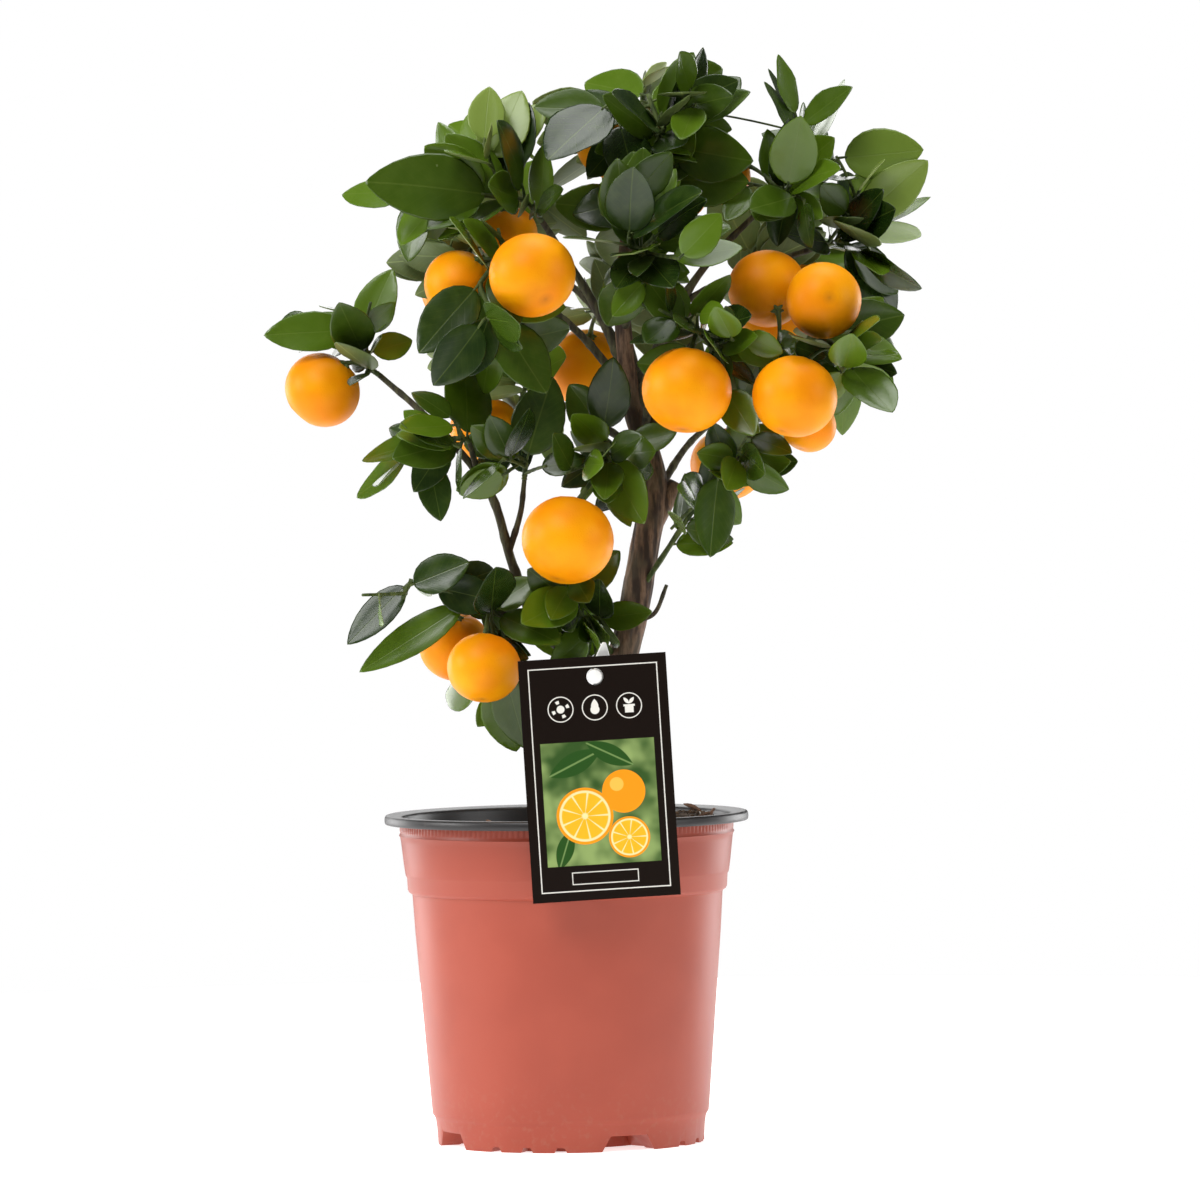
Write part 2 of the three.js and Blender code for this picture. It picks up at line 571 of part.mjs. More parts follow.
function growMass(name, limbs) {
  const mass = masses[name];
  const random = seededRandom(mass.seed);
  const limb = limbs[mass.on];
  const hub = vector(mass.hub);
  const share = mass.at ?? 1;
  const heading = mass.at ? hub.clone().sub(limb.curve.getPointAt(share)) : limb.curve.getTangentAt(1);
  heading.normalize();
  const clear = mass.at ? limb.radiusAt(share) + gap : gap;
  const start = limb.curve.getPointAt(share).addScaledVector(heading, clear);
  const stem = makeTwig(start, heading, hub, 0.5, rule.stemRadius);
  stem.nodes = rule.stemNodes;
  stem.used = true;
  const twigs = [stem];
  const leaves = [];
  const ends = [];

  // Shoots come first: each springs from the nearest twig and stops a leaf's length short of its
  // target, where its end leaf takes over.
  function growShoot(tip, length, shown, firstLean) {
    const spring = springFrom(twigs, tip);
    const straight = tip.clone().sub(spring.place).normalize();
    const reach = spring.place.distanceTo(tip) - length;
    const leans = [firstLean, ...rule.lean];
    for (let i = 0; reach > rule.shortest && i < 2 * leans.length; i += 1) {
      const bend = i < leans.length ? rule.shootBend : 0;
      const way = straight.clone().addScaledVector(new THREE.Vector3(0, 0, 1), leans[i % leans.length]);
      const root = tip.clone().addScaledVector(way.normalize(), -length);
      const twig = makeTwig(spring.place, spring.ahead, root, bend, rule.shootRadius);
      if (twigFits(twig, mass, limbs, start)) {
        twig.nodes = rule.shootNodes;
        twig.parent = spring.twig;
        twigs.push(twig);
        ends.push({ tip, length, shown, twig });
        return;
      }
    }
    if (shown || reach < rule.shortest) ends.push({ tip, length, shown, twig: spring.twig });
  }

  // Tries a leaf at a few roots and turns, and keeps the first that fits.
  function addLeaf(twig, pull, limit, tryAt) {
    const first = tryAt(0);
    const middle = first.root.clone().addScaledVector(first.way, first.length / 2);
    const facing = facingAt(middle, random, pull);
    for (let attempt = 0; attempt < rule.tries; attempt += 1) {
      const { root, way, length } = tryAt(attempt);
      const roll = rule.rolls[attempt % rule.rolls.length];
      const frame = leafFrame(root, way, facing.clone().applyAxisAngle(way, roll), length);
      if (onLeaf(frame, 1, 0, 0).distanceTo(vector(mass.centre)) > limit) continue;
      frame.edges = leafEdges(frame);
      if (leafFits(frame, mass, limbs, leaves, twigs)) {
        leaves.push(frame);
        for (let bearer = twig; bearer; bearer = bearer.parent) bearer.used = true;
        return;
      }
    }
  }

  // The leaf that ends a shoot, or springs from the stem, and points at the target.
  function addEndLeaf({ tip, length, shown, twig }) {
    addLeaf(twig, shown ? rule.shownPull : rule.frontPull, shown ? Infinity : mass.size, (attempt) => {
      const back = rule.endStep * Math.floor(attempt / rule.rolls.length);
      const root = onTwig(twig, 1 - rule.endSink / twig.length - back).place;
      const way = tip.clone().sub(root);
      const size = Math.min(way.length(), length * 1.12);
      return { root, way: way.normalize(), length: size };
    });
  }

  function addSideLeaf(twig, place, turn) {
    const { place: root, ahead } = onTwig(twig, place);
    const across = new THREE.Vector3(0, 0, 1).cross(ahead).normalize();
    const out = root.clone().sub(vector(rule.core)).normalize();
    const open = rule.leafOpen * (0.8 + 0.4 * random());
    const length = leafLength * (0.78 + 0.3 * random());
    addLeaf(twig, rule.frontPull, mass.size, (attempt) => {
      const way = across.clone()
        .applyAxisAngle(ahead, turn + attempt * rule.leafRetry)
        .multiplyScalar(Math.sin(open))
        .addScaledVector(ahead, Math.cos(open))
        .addScaledVector(out, 0.25)
        .normalize();
      return { root, way, length: length * (1 - 0.04 * attempt) };
    });
  }

  for (const [x, y, z, length, lean] of mass.reach) {
    growShoot(new THREE.Vector3(x, y, z), length ?? leafLength, true, lean ?? 0);
  }
  for (const target of moreTargets(mass, random)) {
    growShoot(target, leafLength * (0.8 + 0.3 * random()), false, 0);
  }
  const hanging = (fruits[name] ?? []).map(([x, y, z, diameter]) => {
    const place = new THREE.Vector3(x, y, z);
    const spring = springFrom(twigs, place.clone().add(new THREE.Vector3(0, 0, diameter / 2)));
    for (let bearer = spring.twig; bearer; bearer = bearer.parent) bearer.used = true;
    const up = spring.place.clone().sub(place).normalize();
    up.z += 0.6;
    up.normalize();
    const sunk = place.clone().addScaledVector(up, diameter * 0.4);
    const stalk = makeTwig(spring.place, spring.ahead, sunk, 0.2, rule.stalkRadius);
    return { place, up, size: diameter / 2, stalk };
  });
  const shoots = twigs.slice(1);
  twigs.push(...hanging.map(({ stalk }) => stalk));
  ends.forEach(addEndLeaf);
  for (const shoot of shoots) {
    const count = Math.floor(shoot.length / rule.leafSpacing) + 1;
    const firstTurn = random() * fullTurn;
    for (let i = 0; i < count; i += 1) {
      addSideLeaf(shoot, 0.2 + 0.75 * ((i + 0.5) / count), firstTurn + i * rule.leafTurn);
    }
  }
  for (let i = 0; i < rule.fillTries && leaves.length < mass.leaves; i += 1) {
    const twig = [stem, ...shoots][Math.floor(random() * (shoots.length + 1))];
    addSideLeaf(twig, 0.12 + 0.86 * random(), random() * fullTurn);
  }
  return { twigs: [stem, ...shoots.filter((shoot) => shoot.used)], leaves, hanging };
}

function twigSolid({ places, radius }) {
  const [thick, thin] = radius;
  return tube(places, (share) => thick + (thin - thick) * share, 3);
}

function fruitSolid({ place, up, size, stalk }) {
  const round = new THREE.SphereGeometry(size, 6, 5);
  round.scale(1, 0.94, 1);
  round.applyQuaternion(new THREE.Quaternion().setFromUnitVectors(new THREE.Vector3(0, 1, 0), up));
  round.translate(place.x, place.y, place.z);
  return [solidOf(round), twigSolid(stalk)];
}

function massSolid(grown, limbRoom) {
  const pieces = [
    ...grown.twigs.map(twigSolid),
    ...grown.leaves.map(leafSolid),
    ...grown.hanging.flatMap(fruitSolid),
  ];
  const joined = largestBody(Manifold.union(pieces).subtract(limbRoom));
  return largestBody(joined.simplify(rule.simplify));
}

// Pot: the notched foot ring is cut from outside, and its pockets are kept by the inside.
function wedge(notch, extra, turn) {
  const { depth, height, foot, head } = notch;
  const shape = new THREE.Shape([
    new THREE.Vector2(-foot / 2 - extra, -extra - 1),
    new THREE.Vector2(foot / 2 + extra, -extra - 1),
    new THREE.Vector2(head / 2 + extra, height + extra),
    new THREE.Vector2(-head / 2 - extra, height + extra),
  ]);
  const reach = depth + extra + 4;
  const geometry = new THREE.ExtrudeGeometry(shape, { depth: reach, bevelEnabled: false });
  geometry.rotateX(Math.PI / 2);
  geometry.translate(0, -(pot.outside[0][0] + 4) + reach, 0);
  geometry.rotateZ(turn * degree);
  return solidOf(geometry);
}

function quarterTurns() {
  return [0, 1, 2, 3].map((quarter) => pot.notchTurn + 90 * quarter);
}

function wideNotches(extra) {
  return Manifold.union(quarterTurns().map((turn) => wedge(pot.wideNotch, extra, turn)));
}

function smallNotches() {
  const { count, pitch } = pot.smallNotch;
  const cuts = quarterTurns().flatMap((turn) => Array.from({ length: count }, (_, i) => (
    wedge(pot.smallNotch, 0, turn + 45 + (i - (count - 1) / 2) * pitch)
  )));
  return Manifold.union(cuts);
}

function insideRadius(height) {
  const next = pot.outside.findIndex(([, level]) => level > height);
  const [[lowRadius, low], [highRadius, high]] = next > 0 ? pot.outside.slice(next - 1, next + 1)
    : pot.outside.slice(-2);
  const share = THREE.MathUtils.clamp((height - low) / (high - low), 0, 1);
  return lowRadius + (highRadius - lowRadius) * share - pot.wall;
}

function insideProfile(shrink, floor, top) {
  const levels = pot.insideLevels.filter((height) => height < top);
  const inset = [...levels, top].map((height) => [insideRadius(height) - shrink, height]);
  return [[0, floor], [insideRadius(floor) - shrink, floor], ...inset, [0, top]];
}

function potSolid() {
  const outside = turned([[0, 0], ...pot.outside, [0, pot.outside.at(-1)[1]]], pot.segments);
  const inside = turned(insideProfile(0, pot.floor, pot.outside.at(-1)[1] + 1), pot.segments);
  const hollow = inside.subtract(wideNotches(pot.wall));
  return largestBody(outside.subtract(wideNotches(0)).subtract(smallNotches()).subtract(hollow));
}

function lipSolid() {
  const wallTop = pot.outside.at(-1);
  const liningOuter = wallTop[0] - pot.wall - gap;
  const skirtOuter = insideRadius(lip.skirtBottom) - gap - 0.8;
  const under = lip.top - lip.thickness;
  return turned([
    [skirtOuter - 0.9, lip.skirtBottom], [skirtOuter, lip.skirtBottom],
    [liningOuter, wallTop[1] + gap], [lip.outer - lip.thickness - 0.6, under - 0.6],
    [lip.outer - lip.thickness, lip.top - lip.edge], [lip.outer, lip.top - lip.edge],
    [lip.outer, lip.top - lip.crown], [lip.outer - 1.6, lip.top],
    [liningOuter - 0.6, lip.top - 1.2], [skirtOuter - 0.9, lip.skirtBottom],
  ], pot.segments);
}

// Filling: heaped up to the rim on the right, with a flat seat for the trunk.
function soilSolid() {
  const { level, rise, heap, lumps, rings } = soil;
  const edge = insideRadius(lip.skirtBottom) - 3 * gap - 1.9;
  const profile = insideProfile(gap, pot.floor + gap, lip.skirtBottom - 1.2).slice(0, -1);
  const surface = Array.from({ length: rings }, (_, i) => [edge * (1 - i / rings), level]);
  const points = [...profile, [edge, lip.skirtBottom], ...surface, [0, level]];
  const geometry = new THREE.LatheGeometry(points.map(([r, z]) => new THREE.Vector2(r, z)), pot.segments);
  geometry.rotateX(Math.PI / 2);
  const position = geometry.getAttribute('position');
  const foot = vector(trunk.path[0]);
  for (let i = 0; i < position.count; i += 1) {
    const [x, y, z] = [position.getX(i), position.getY(i), position.getZ(i)];
    if (z > level - gap) {
      const fromHeap = Math.hypot(x - heap.at[0], y - heap.at[1]);
      const heaped = heap.height * Math.exp(-((fromHeap / heap.spread) ** 2));
      const wave = Math.sin(x * lumps.pitch[0] + lumps.shift[0]) * Math.sin(y * lumps.pitch[1] + lumps.shift[1]);
      const height = z + rise * (x / edge) + heaped + lumps.height * wave;
      const near = Math.hypot(x - foot.x, y - foot.y) < soil.seatRadius;
      position.setZ(i, near ? soil.seat : height);
    }
  }
  const stickRoom = stickBlade(gap);
  return largestBody(solidOf(geometry).subtract(wideNotches(pot.wall + gap)).subtract(stickRoom));
}

// Card: a thin board with a hole, and a pointed stick whose peg goes through the hole.
function stickBlade(extra) {
  const { width, thickness, head, point } = label.stick;
  const foot = vector(label.stick.foot);
  const top = vector(label.stick.top);
  const length = foot.distanceTo(top);
  const half = width / 2 + extra;
  const shape = new THREE.Shape([
    new THREE.Vector2(-half * 0.3, -extra), new THREE.Vector2(half * 0.3, -extra),
    new THREE.Vector2(half, point), new THREE.Vector2(half, length),
    new THREE.Vector2(half * 0.25, length + head), new THREE.Vector2(-half * 0.25, length + head),
    new THREE.Vector2(-half, length), new THREE.Vector2(-half, point),
  ]);
  const depth = thickness + 2 * extra;
  const geometry = new THREE.ExtrudeGeometry(shape, { depth, bevelEnabled: false });
  geometry.translate(0, 0, -depth / 2);
  const along = top.clone().sub(foot).normalize();
  const side = new THREE.Vector3(1, 0, 0).addScaledVector(along, -along.x).normalize();
  const out = new THREE.Vector3().crossVectors(side, along);
  geometry.applyMatrix4(new THREE.Matrix4().makeBasis(side, along, out).setPosition(foot));
  return solidOf(geometry);
}

function stickSolid() {
  const [x, z] = label.holeAt;
  const front = label.centre[1] - label.thickness / 2 - 1.2;
  const back = label.stick.top[1] + 3.4;
  const peg = new THREE.CylinderGeometry(label.stick.peg, label.stick.peg, back - front, 10);
  peg.translate(x, (front + back) / 2, z);
  return stickBlade(0).add(solidOf(peg));
}

function cardSolid() {
  const [x, y, z] = label.centre;
  const board = new THREE.BoxGeometry(label.width, label.thickness, label.height);
  board.rotateY(label.turn * degree);
  board.translate(x, y, z);
  const hole = new THREE.CylinderGeometry(label.hole, label.hole, 4, 12);
  hole.translate(label.holeAt[0], y, label.holeAt[1]);
  return solidOf(board).subtract(solidOf(hole));
}

const colours = { terracotta: 0xb4553f, black: 0x1c1c1e, peat: 0x3a2a20, bark: 0x5b4331,
  greenWood: 0x4d5a2c, leaf: 0x2f5a22, card: 0x2c2422, stick: 0xf2f1ea };

function buildPlant() {
  const group = new THREE.Group();
  group.name = 'potted_calamondin';
  const limbs = makeLimbs();
  group.add(node('pot', potSolid(), colours.terracotta));
  group.add(node('pot_lip', lipSolid(), colours.black));
  group.add(node('soil', soilSolid(), colours.peat));
  group.add(node('label_card', cardSolid(), colours.card));
  group.add(node('label_stick', stickSolid(), colours.stick));
  Object.entries(limbs).forEach(([name, limb], i, all) => {
    const solid = limbSolid(limb, all.slice(0, i).map(([, other]) => other));
    group.add(node(name, solid, limb.parent ? colours.greenWood : colours.bark));
  });
  const limbRoom = Manifold.union(Object.values(limbs).map((limb) => limbTube(limb, gap)));
  for (const name of Object.keys(masses)) {
    group.add(node(`leaves_${name}`, massSolid(growMass(name, limbs), limbRoom), colours.leaf));
  }
  return group;
}

export default buildPlant();
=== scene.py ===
import json
import math

import bpy
import numpy as np
from mathutils import Matrix, Vector

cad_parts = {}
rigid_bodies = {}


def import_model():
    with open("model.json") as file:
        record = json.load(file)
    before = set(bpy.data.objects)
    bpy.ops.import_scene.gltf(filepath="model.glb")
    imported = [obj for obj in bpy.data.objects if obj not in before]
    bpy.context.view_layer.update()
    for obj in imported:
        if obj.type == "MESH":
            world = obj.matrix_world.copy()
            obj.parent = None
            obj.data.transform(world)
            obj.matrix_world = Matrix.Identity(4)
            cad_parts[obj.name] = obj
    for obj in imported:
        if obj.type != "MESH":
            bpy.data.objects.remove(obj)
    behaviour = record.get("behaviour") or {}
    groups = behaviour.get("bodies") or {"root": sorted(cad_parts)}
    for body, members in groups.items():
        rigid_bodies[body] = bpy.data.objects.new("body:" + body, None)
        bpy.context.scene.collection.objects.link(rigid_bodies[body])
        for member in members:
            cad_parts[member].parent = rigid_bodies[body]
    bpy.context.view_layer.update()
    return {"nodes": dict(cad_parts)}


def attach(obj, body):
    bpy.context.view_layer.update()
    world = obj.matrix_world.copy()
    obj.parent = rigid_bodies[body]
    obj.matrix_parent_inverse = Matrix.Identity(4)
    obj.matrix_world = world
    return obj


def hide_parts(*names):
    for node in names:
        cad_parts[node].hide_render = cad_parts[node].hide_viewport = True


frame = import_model()
mm = 0.001
fullTurn = 2 * math.pi
print("frame loaded:", len(frame["nodes"]), "solids")


# Small helpers for arrays and meshes.


def unit(vectors):  # each vector over its own length
    return vectors / np.linalg.norm(vectors, axis=-1, keepdims=True)


def sizeOf(vectors):  # the length of each vector
    return np.linalg.norm(vectors, axis=-1)


def turnsOf(count):  # angles at even steps round a full turn
    return np.arange(count) / count * fullTurn


def easeStep(values, low, high):  # 3t^2 - 2t^3 between low and high
    share = np.clip((values - low) / (high - low), 0, 1)
    return share * share * (3 - 2 * share)


# Random values on a lattice, eased between its points; repeats after wrap cells along x.
def latticeNoise(x, y, wrap, seed):
    rows = 97
    values = np.random.default_rng(seed).random((rows, wrap))
    column = np.floor(x).astype(int)
    row = np.floor(y).astype(int)
    u = easeStep(x - column, 0, 1)
    v = easeStep(y - row, 0, 1)

    def at(right, up):
        return values[(row + up) % rows, (column + right) % wrap]

    low = at(0, 0) + (at(1, 0) - at(0, 0)) * u
    high = at(0, 1) + (at(1, 1) - at(0, 1)) * u
    return low + (high - low) * v


# Rings of points between two poles, for many shapes at once: rings is (shapes, rings, sides, 3).
# Quads join each ring to the next and fans close both ends. Also gives each face's column.
def closeRings(rings, starts, ends):
    count, ringCount, sides, _ = rings.shape
    perShape = ringCount * sides + 2
    corners = np.concatenate([rings.reshape(count, -1, 3), starts[:, None], ends[:, None]], axis=1)
    ring, side = np.meshgrid(np.arange(ringCount - 1), np.arange(sides), indexing="ij")
    following = (side + 1) % sides
    base = ring * sides
    quads = np.stack([base + side, base + following, base + sides + following, base + sides + side], -1)
    column = np.arange(sides)
    after = (column + 1) % sides
    last = (ringCount - 1) * sides
    startFan = np.stack([np.full(sides, perShape - 2), after, column], -1)
    endFan = np.stack([np.full(sides, perShape - 1), last + column, last + after], -1)
    shift = (np.arange(count) * perShape)[:, None, None]
    quads = (quads.reshape(1, -1, 4) + shift).reshape(-1, 4)
    fans = (np.concatenate([startFan, endFan])[None] + shift).reshape(-1, 3)
    fanColumns = np.concatenate([column, column])
    columns = np.concatenate([np.tile(side.ravel(), count), np.tile(fanColumns, count)])
    return corners.reshape(-1, 3), [quads, fans], columns


def wrapRings(rings):  # quads that close both ways round, as on a ring
    count, columns, _ = rings.shape
    ring, column = np.meshgrid(np.arange(count), np.arange(columns), indexing="ij")
    after, above = (column + 1) % columns, (ring + 1) % count
    low, high = ring * columns, above * columns
    quads = [low + column, low + after, high + after, high + column]
    return rings.reshape(-1, 3), np.stack(quads, -1).reshape(-1, 4)


# Rings round an axis: centre + across * flat cos + other * flat sin + axis * rise.
def ringsAbout(centre, across, other, axis, turn, flat, rise):
    centre, across, other, axis = (vectors[:, None, None] for vectors in (centre, across, other, axis))
    rings = centre + across * (flat * np.cos(turn))[..., None] + other * (flat * np.sin(turn))[..., None]
    return rings + axis * rise[..., None]


# The same values for rings and poles as closeRings has corners.
def ringValues(values, startValues, endValues):
    count, ringCount, sides = values.shape[:3]
    tail = values.shape[3:]
    flat = values.reshape(count, ringCount * sides, *tail)
    return np.concatenate([flat, startValues[:, None], endValues[:, None]], axis=1).reshape(-1, *tail)


# Directions for tubes: ahead along the path, across carried from ring to ring without twist.
def carryFrames(paths):
    ahead = unit(np.gradient(paths, axis=1))
    across = np.empty_like(paths)
    carried = np.broadcast_to(np.array([0.31, 0.87, 0.38]), paths[:, 0].shape)
    for ring in range(paths.shape[1]):
        direction = ahead[:, ring]
        carried = unit(carried - direction * np.sum(carried * direction, axis=1, keepdims=True))
        across[:, ring] = carried
    return across, np.cross(ahead, across)


# Place + radius * (across cos + other sin): a tube round each path.
def sweepTubes(paths, radii):
    sides = radii.shape[2]
    across, other = carryFrames(paths)
    turn = turnsOf(sides)
    out = across[:, :, None] * np.cos(turn)[:, None] + other[:, :, None] * np.sin(turn)[:, None]
    rings = paths[:, :, None] + radii[..., None] * out
    return closeRings(rings, paths[:, 0], paths[:, -1])


# A profile of [radius, height] turned round Z. The first and last points lie on the axis.
def turnProfile(profile, columns):
    profile = np.asarray(profile, float)
    turn = turnsOf(columns)
    radius = profile[1:-1, 0][:, None]
    height = np.broadcast_to(profile[1:-1, 1][:, None], (len(profile) - 2, columns))
    return np.stack([radius * np.cos(turn), radius * np.sin(turn), height], -1)


# Arrays into a mesh object at the origin. paintOf gives each face's material by number.
def addPiece(name, corners, faceSets, paints, paintOf=None, uv=None, values=None, smooth=True):
    mesh = bpy.data.meshes.new(name)
    faces = [face for faceSet in faceSets for face in faceSet.tolist()]
    mesh.from_pydata((corners * mm).tolist(), [], faces)
    for paint in paints:
        mesh.materials.append(paint)
    if paintOf is not None:
        mesh.polygons.foreach_set("material_index", paintOf.astype(np.int32))
    if uv is not None:
        cornerOf = np.empty(len(mesh.loops), np.int32)
        mesh.loops.foreach_get("vertex_index", cornerOf)
        layer = mesh.uv_layers.new(name="UVMap")
        layer.uv.foreach_set("vector", uv[cornerOf].astype(np.float32).ravel())
    for key, numbers in (values or {}).items():
        attribute = mesh.attributes.new(key, "FLOAT", "POINT")
        attribute.data.foreach_set("value", numbers.astype(np.float32))
    mesh.polygons.foreach_set("use_smooth", np.full(len(faces), smooth))
    mesh.update()
    piece = bpy.data.objects.new(name, mesh)
    bpy.context.scene.collection.objects.link(piece)
    return piece


# A piece moves with the root body and stands for the solids that it replaces.
def place(piece, slot, *nodes):
    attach(piece, "root")
    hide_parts(*nodes)
    return piece


def sharpen(piece, angle):  # edges over the angle stay sharp
    piece.data.set_sharp_from_angle(angle=math.radians(angle))


# Materials: sockets as Python expressions, then one function for each finish.


class Wire:  # a socket, with arithmetic that adds Math nodes
    def __init__(self, paint, socket):
        self.paint = paint
        self.socket = socket

    def maths(self, operation, *others):  # a Math node of this and the others
        values = {0: self}
        for index, other in enumerate(others):
            values[index + 1] = other
        return self.paint.wire("ShaderNodeMath", {"operation": operation}, values)

    def __add__(self, other):
        return self.maths("ADD", other)

    __radd__ = __add__

    def __mul__(self, other):
        return self.maths("MULTIPLY", other)

    __rmul__ = __mul__

    def __sub__(self, other):
        return self.maths("SUBTRACT", other)

    def __rsub__(self, other):
        return (self * -1) + other

    def __truediv__(self, other):
        return self.maths("DIVIDE", other)

    def __pow__(self, other):
        return self.maths("POWER", other)

    def __abs__(self):
        return self.maths("ABSOLUTE")

    def sine(self):
        return self.maths("SINE")

    def fraction(self):
        return self.maths("FRACT")

    def most(self, other):
        return self.maths("MAXIMUM", other)

    def root(self):
        return self.maths("SQRT")

    def angleTo(self, other):
        return self.maths("ARCTAN2", other)

    def step(self, low, high):  # 0 below low, 1 above high, eased between
        settings = {"interpolation_type": "SMOOTHSTEP"}
        return self.paint.wire("ShaderNodeMapRange", settings, {"Value": self, 1: low, 2: high})


class Paint:  # a material on one Principled shader
    def __init__(self, name, **uniform):
        self.material = bpy.data.materials.new(name)
        self.material.use_nodes = True
        self.tree = self.material.node_tree
        self.shader = self.tree.nodes["Principled BSDF"]
        for key, value in uniform.items():
            self.shader.inputs[key.replace("_", " ")].default_value = value

    def node(self, kind, settings=None, inputs=None):  # a new node with its options and inputs
        node = self.tree.nodes.new(kind)
        for key, value in (settings or {}).items():
            setattr(node, key, value)
        for key, value in (inputs or {}).items():
            self.join(value, node.inputs[key])
        return node

    def join(self, value, socket):  # a link from a wire, or a fixed value
        if isinstance(value, Wire):
            self.tree.links.new(value.socket, socket)
        elif isinstance(value, tuple) and len(value) == 3 and socket.type == "RGBA":
            socket.default_value = (*value, 1)
        else:
            socket.default_value = value

    def wire(self, kind, settings=None, inputs=None, output=0):  # one output of a new node
        return Wire(self, self.node(kind, settings, inputs).outputs[output])

    def mix(self, share, low, high):  # low + (high - low) * share, for colours
        settings = {"data_type": "RGBA", "clamp_factor": True}
        return self.wire("ShaderNodeMix", settings, {0: share, 6: low, 7: high}, 2)

    def objectPlace(self):
        return self.wire("ShaderNodeTexCoord", output=3)

    def attribute(self, name):
        return self.wire("ShaderNodeAttribute", {"attribute_name": name}, output=2)

    def axes(self, vector):  # its x, y and z
        split = self.node("ShaderNodeSeparateXYZ", inputs={0: vector})
        return [Wire(self, output) for output in split.outputs]

    def stretch(self, vector, scale):  # the vector times the scale, axis by axis
        return self.wire("ShaderNodeVectorMath", {"operation": "MULTIPLY"}, {0: vector, 1: scale})

    # Noise whose grains measure size millimetres, stretched by the scale
    def grain(self, size, detail=2.0, scale=(1, 1, 1)):
        vector = self.stretch(self.objectPlace(), scale)
        inputs = {"Vector": vector, "Scale": 1 / (size * mm), "Detail": detail}
        return self.wire("ShaderNodeTexNoise", None, inputs)

    def cells(self, size):  # distance to the nearest of points about size apart
        inputs = {"Vector": self.objectPlace(), "Scale": 1 / (size * mm)}
        return self.wire("ShaderNodeTexVoronoi", None, inputs)

    def bump(self, height, strength, distance):  # tilts the surface by the height's slope
        inputs = {"Height": height, "Strength": strength, "Distance": distance * mm}
        self.join(self.wire("ShaderNodeBump", None, inputs), self.shader.inputs["Normal"])

    def colour(self, value):
        self.join(value, self.shader.inputs["Base Color"])
        return self.material


leafLooks = {
    "leafTop": {
        "dark": (0.009, 0.025, 0.002), "mid": (0.086, 0.160, 0.005), "young": (0.20, 0.28, 0.05),
        "rib": (0.15, 0.21, 0.035), "ribShare": 0.24, "gloss": 0.27,
    },
    "leafUnder": {
        "dark": (0.085, 0.120, 0.030), "mid": (0.150, 0.205, 0.055), "young": (0.30, 0.37, 0.11),
        "rib": (0.30, 0.37, 0.11), "ribShare": 0.5, "gloss": 0.5,
    },
}


# Leaf colour by its tone (0 dark, 0.5 mid, 1 young), with a pale midrib and faint side veins:
# veins are where the share up the leaf, less a slant of the distance from the rib, repeats.
def leafPaint(name, dark, mid, young, rib, ribShare, gloss):
    paint = Paint(name, Roughness=gloss, Specular_IOR_Level=0.42)
    tone = paint.attribute("tone")
    across, along, _ = paint.axes(paint.wire("ShaderNodeTexCoord", output=2))
    fromRib = abs(across - 0.5)
    ribLine = 1 - fromRib.step(0.004, 0.02)
    veinPlace = (along * 8.5 - fromRib * 6.5).fraction()
    veinLine = (1 - abs(veinPlace - 0.5).step(0.02, 0.08)) * fromRib.step(0.03, 0.1)
    body = paint.mix(tone.step(0.0, 0.55), dark, mid)
    body = paint.mix(tone.step(0.6, 1.0), body, young)
    body = paint.mix(paint.grain(9, 3).step(0.35, 0.75) * 0.08, body, young)
    ribs = (ribLine * ribShare).most(veinLine * (ribShare * 0.2))
    paint.bump(veinLine * -0.25 - ribLine, 0.2, 0.2)
    return paint.colour(paint.mix(ribs, body, rib))


def peelPaint():  # bright peel in patches, with fine pores and a brown scar
    deep, bright = (0.85, 0.25, 0.0), (0.92, 0.35, 0.0)
    scarred, poreDark = (0.42, 0.12, 0.01), (0.75, 0.16, 0.002)
    paint = Paint("peel", Roughness=0.45, Specular_IOR_Level=0.15)
    pores = paint.cells(1.25)
    body = paint.mix(paint.grain(26).step(0.3, 0.72), deep, bright)
    body = paint.mix(paint.attribute("scar") * 0.6, body, scarred)
    body = paint.mix((1 - pores.step(0.05, 0.3)) * 0.18, body, poreDark)
    paint.bump(pores.step(0.0, 0.42), 0.22, 0.25)
    return paint.colour(body)


def barkPaint(name, pale, dark, moss, size):  # long grains with dark cracks
    paint = Paint(name, Roughness=0.82)
    fibre = paint.grain(size, 6, (1, 1, 0.16))
    fine = paint.grain(size * 0.22, 4, (1, 1, 0.3))
    body = paint.mix(fibre.step(0.38, 0.62), dark, pale)
    body = paint.mix(fine.step(0.45, 0.7) * 0.5, body, dark)
    body = paint.mix(paint.grain(size * 5).step(0.5, 0.68) * 0.5, body, moss)
    paint.bump(fibre * 0.7 + fine * 0.3, 0.6, 0.9)
    return paint.colour(body)


def twigPaint():  # green streaks along the twig
    dark, pale = (0.035, 0.055, 0.014), (0.085, 0.115, 0.028)
    paint = Paint("twigGreen", Roughness=0.6, Specular_IOR_Level=0.25)
    streak = paint.grain(3.2, 3, (1, 1, 0.3))
    paint.bump(streak, 0.25, 0.3)
    return paint.colour(paint.mix(streak.step(0.35, 0.65), dark, pale))


def potPaint():  # matte moulded plastic, darker higher up with painted shade from the lip and crown, with a little dust near the foot
    deep, pale = (0.350, 0.060, 0.032), (0.380, 0.068, 0.037)
    lipShade, dusty = (0.25, 0.038, 0.018), (0.36, 0.16, 0.10)
    paint = Paint("terracottaPlastic", Roughness=0.42, Specular_IOR_Level=0.36)
    _, _, height = paint.axes(paint.objectPlace())
    dust = (1 - height.step(0.0, 0.05)) * paint.grain(3.5, 4).step(0.5, 0.75)
    body = paint.mix(paint.grain(38, 3).step(0.3, 0.7), deep, pale)
    # painted shade: the wall darkens towards the lip, where the lip and the crown above shade it
    body = paint.mix(height.step(0.115, 0.168) * 0.6, body, lipShade)
    paint.bump(paint.grain(0.7), 0.08, 0.15)
    return paint.colour(paint.mix(dust * 0.25, body, dusty))


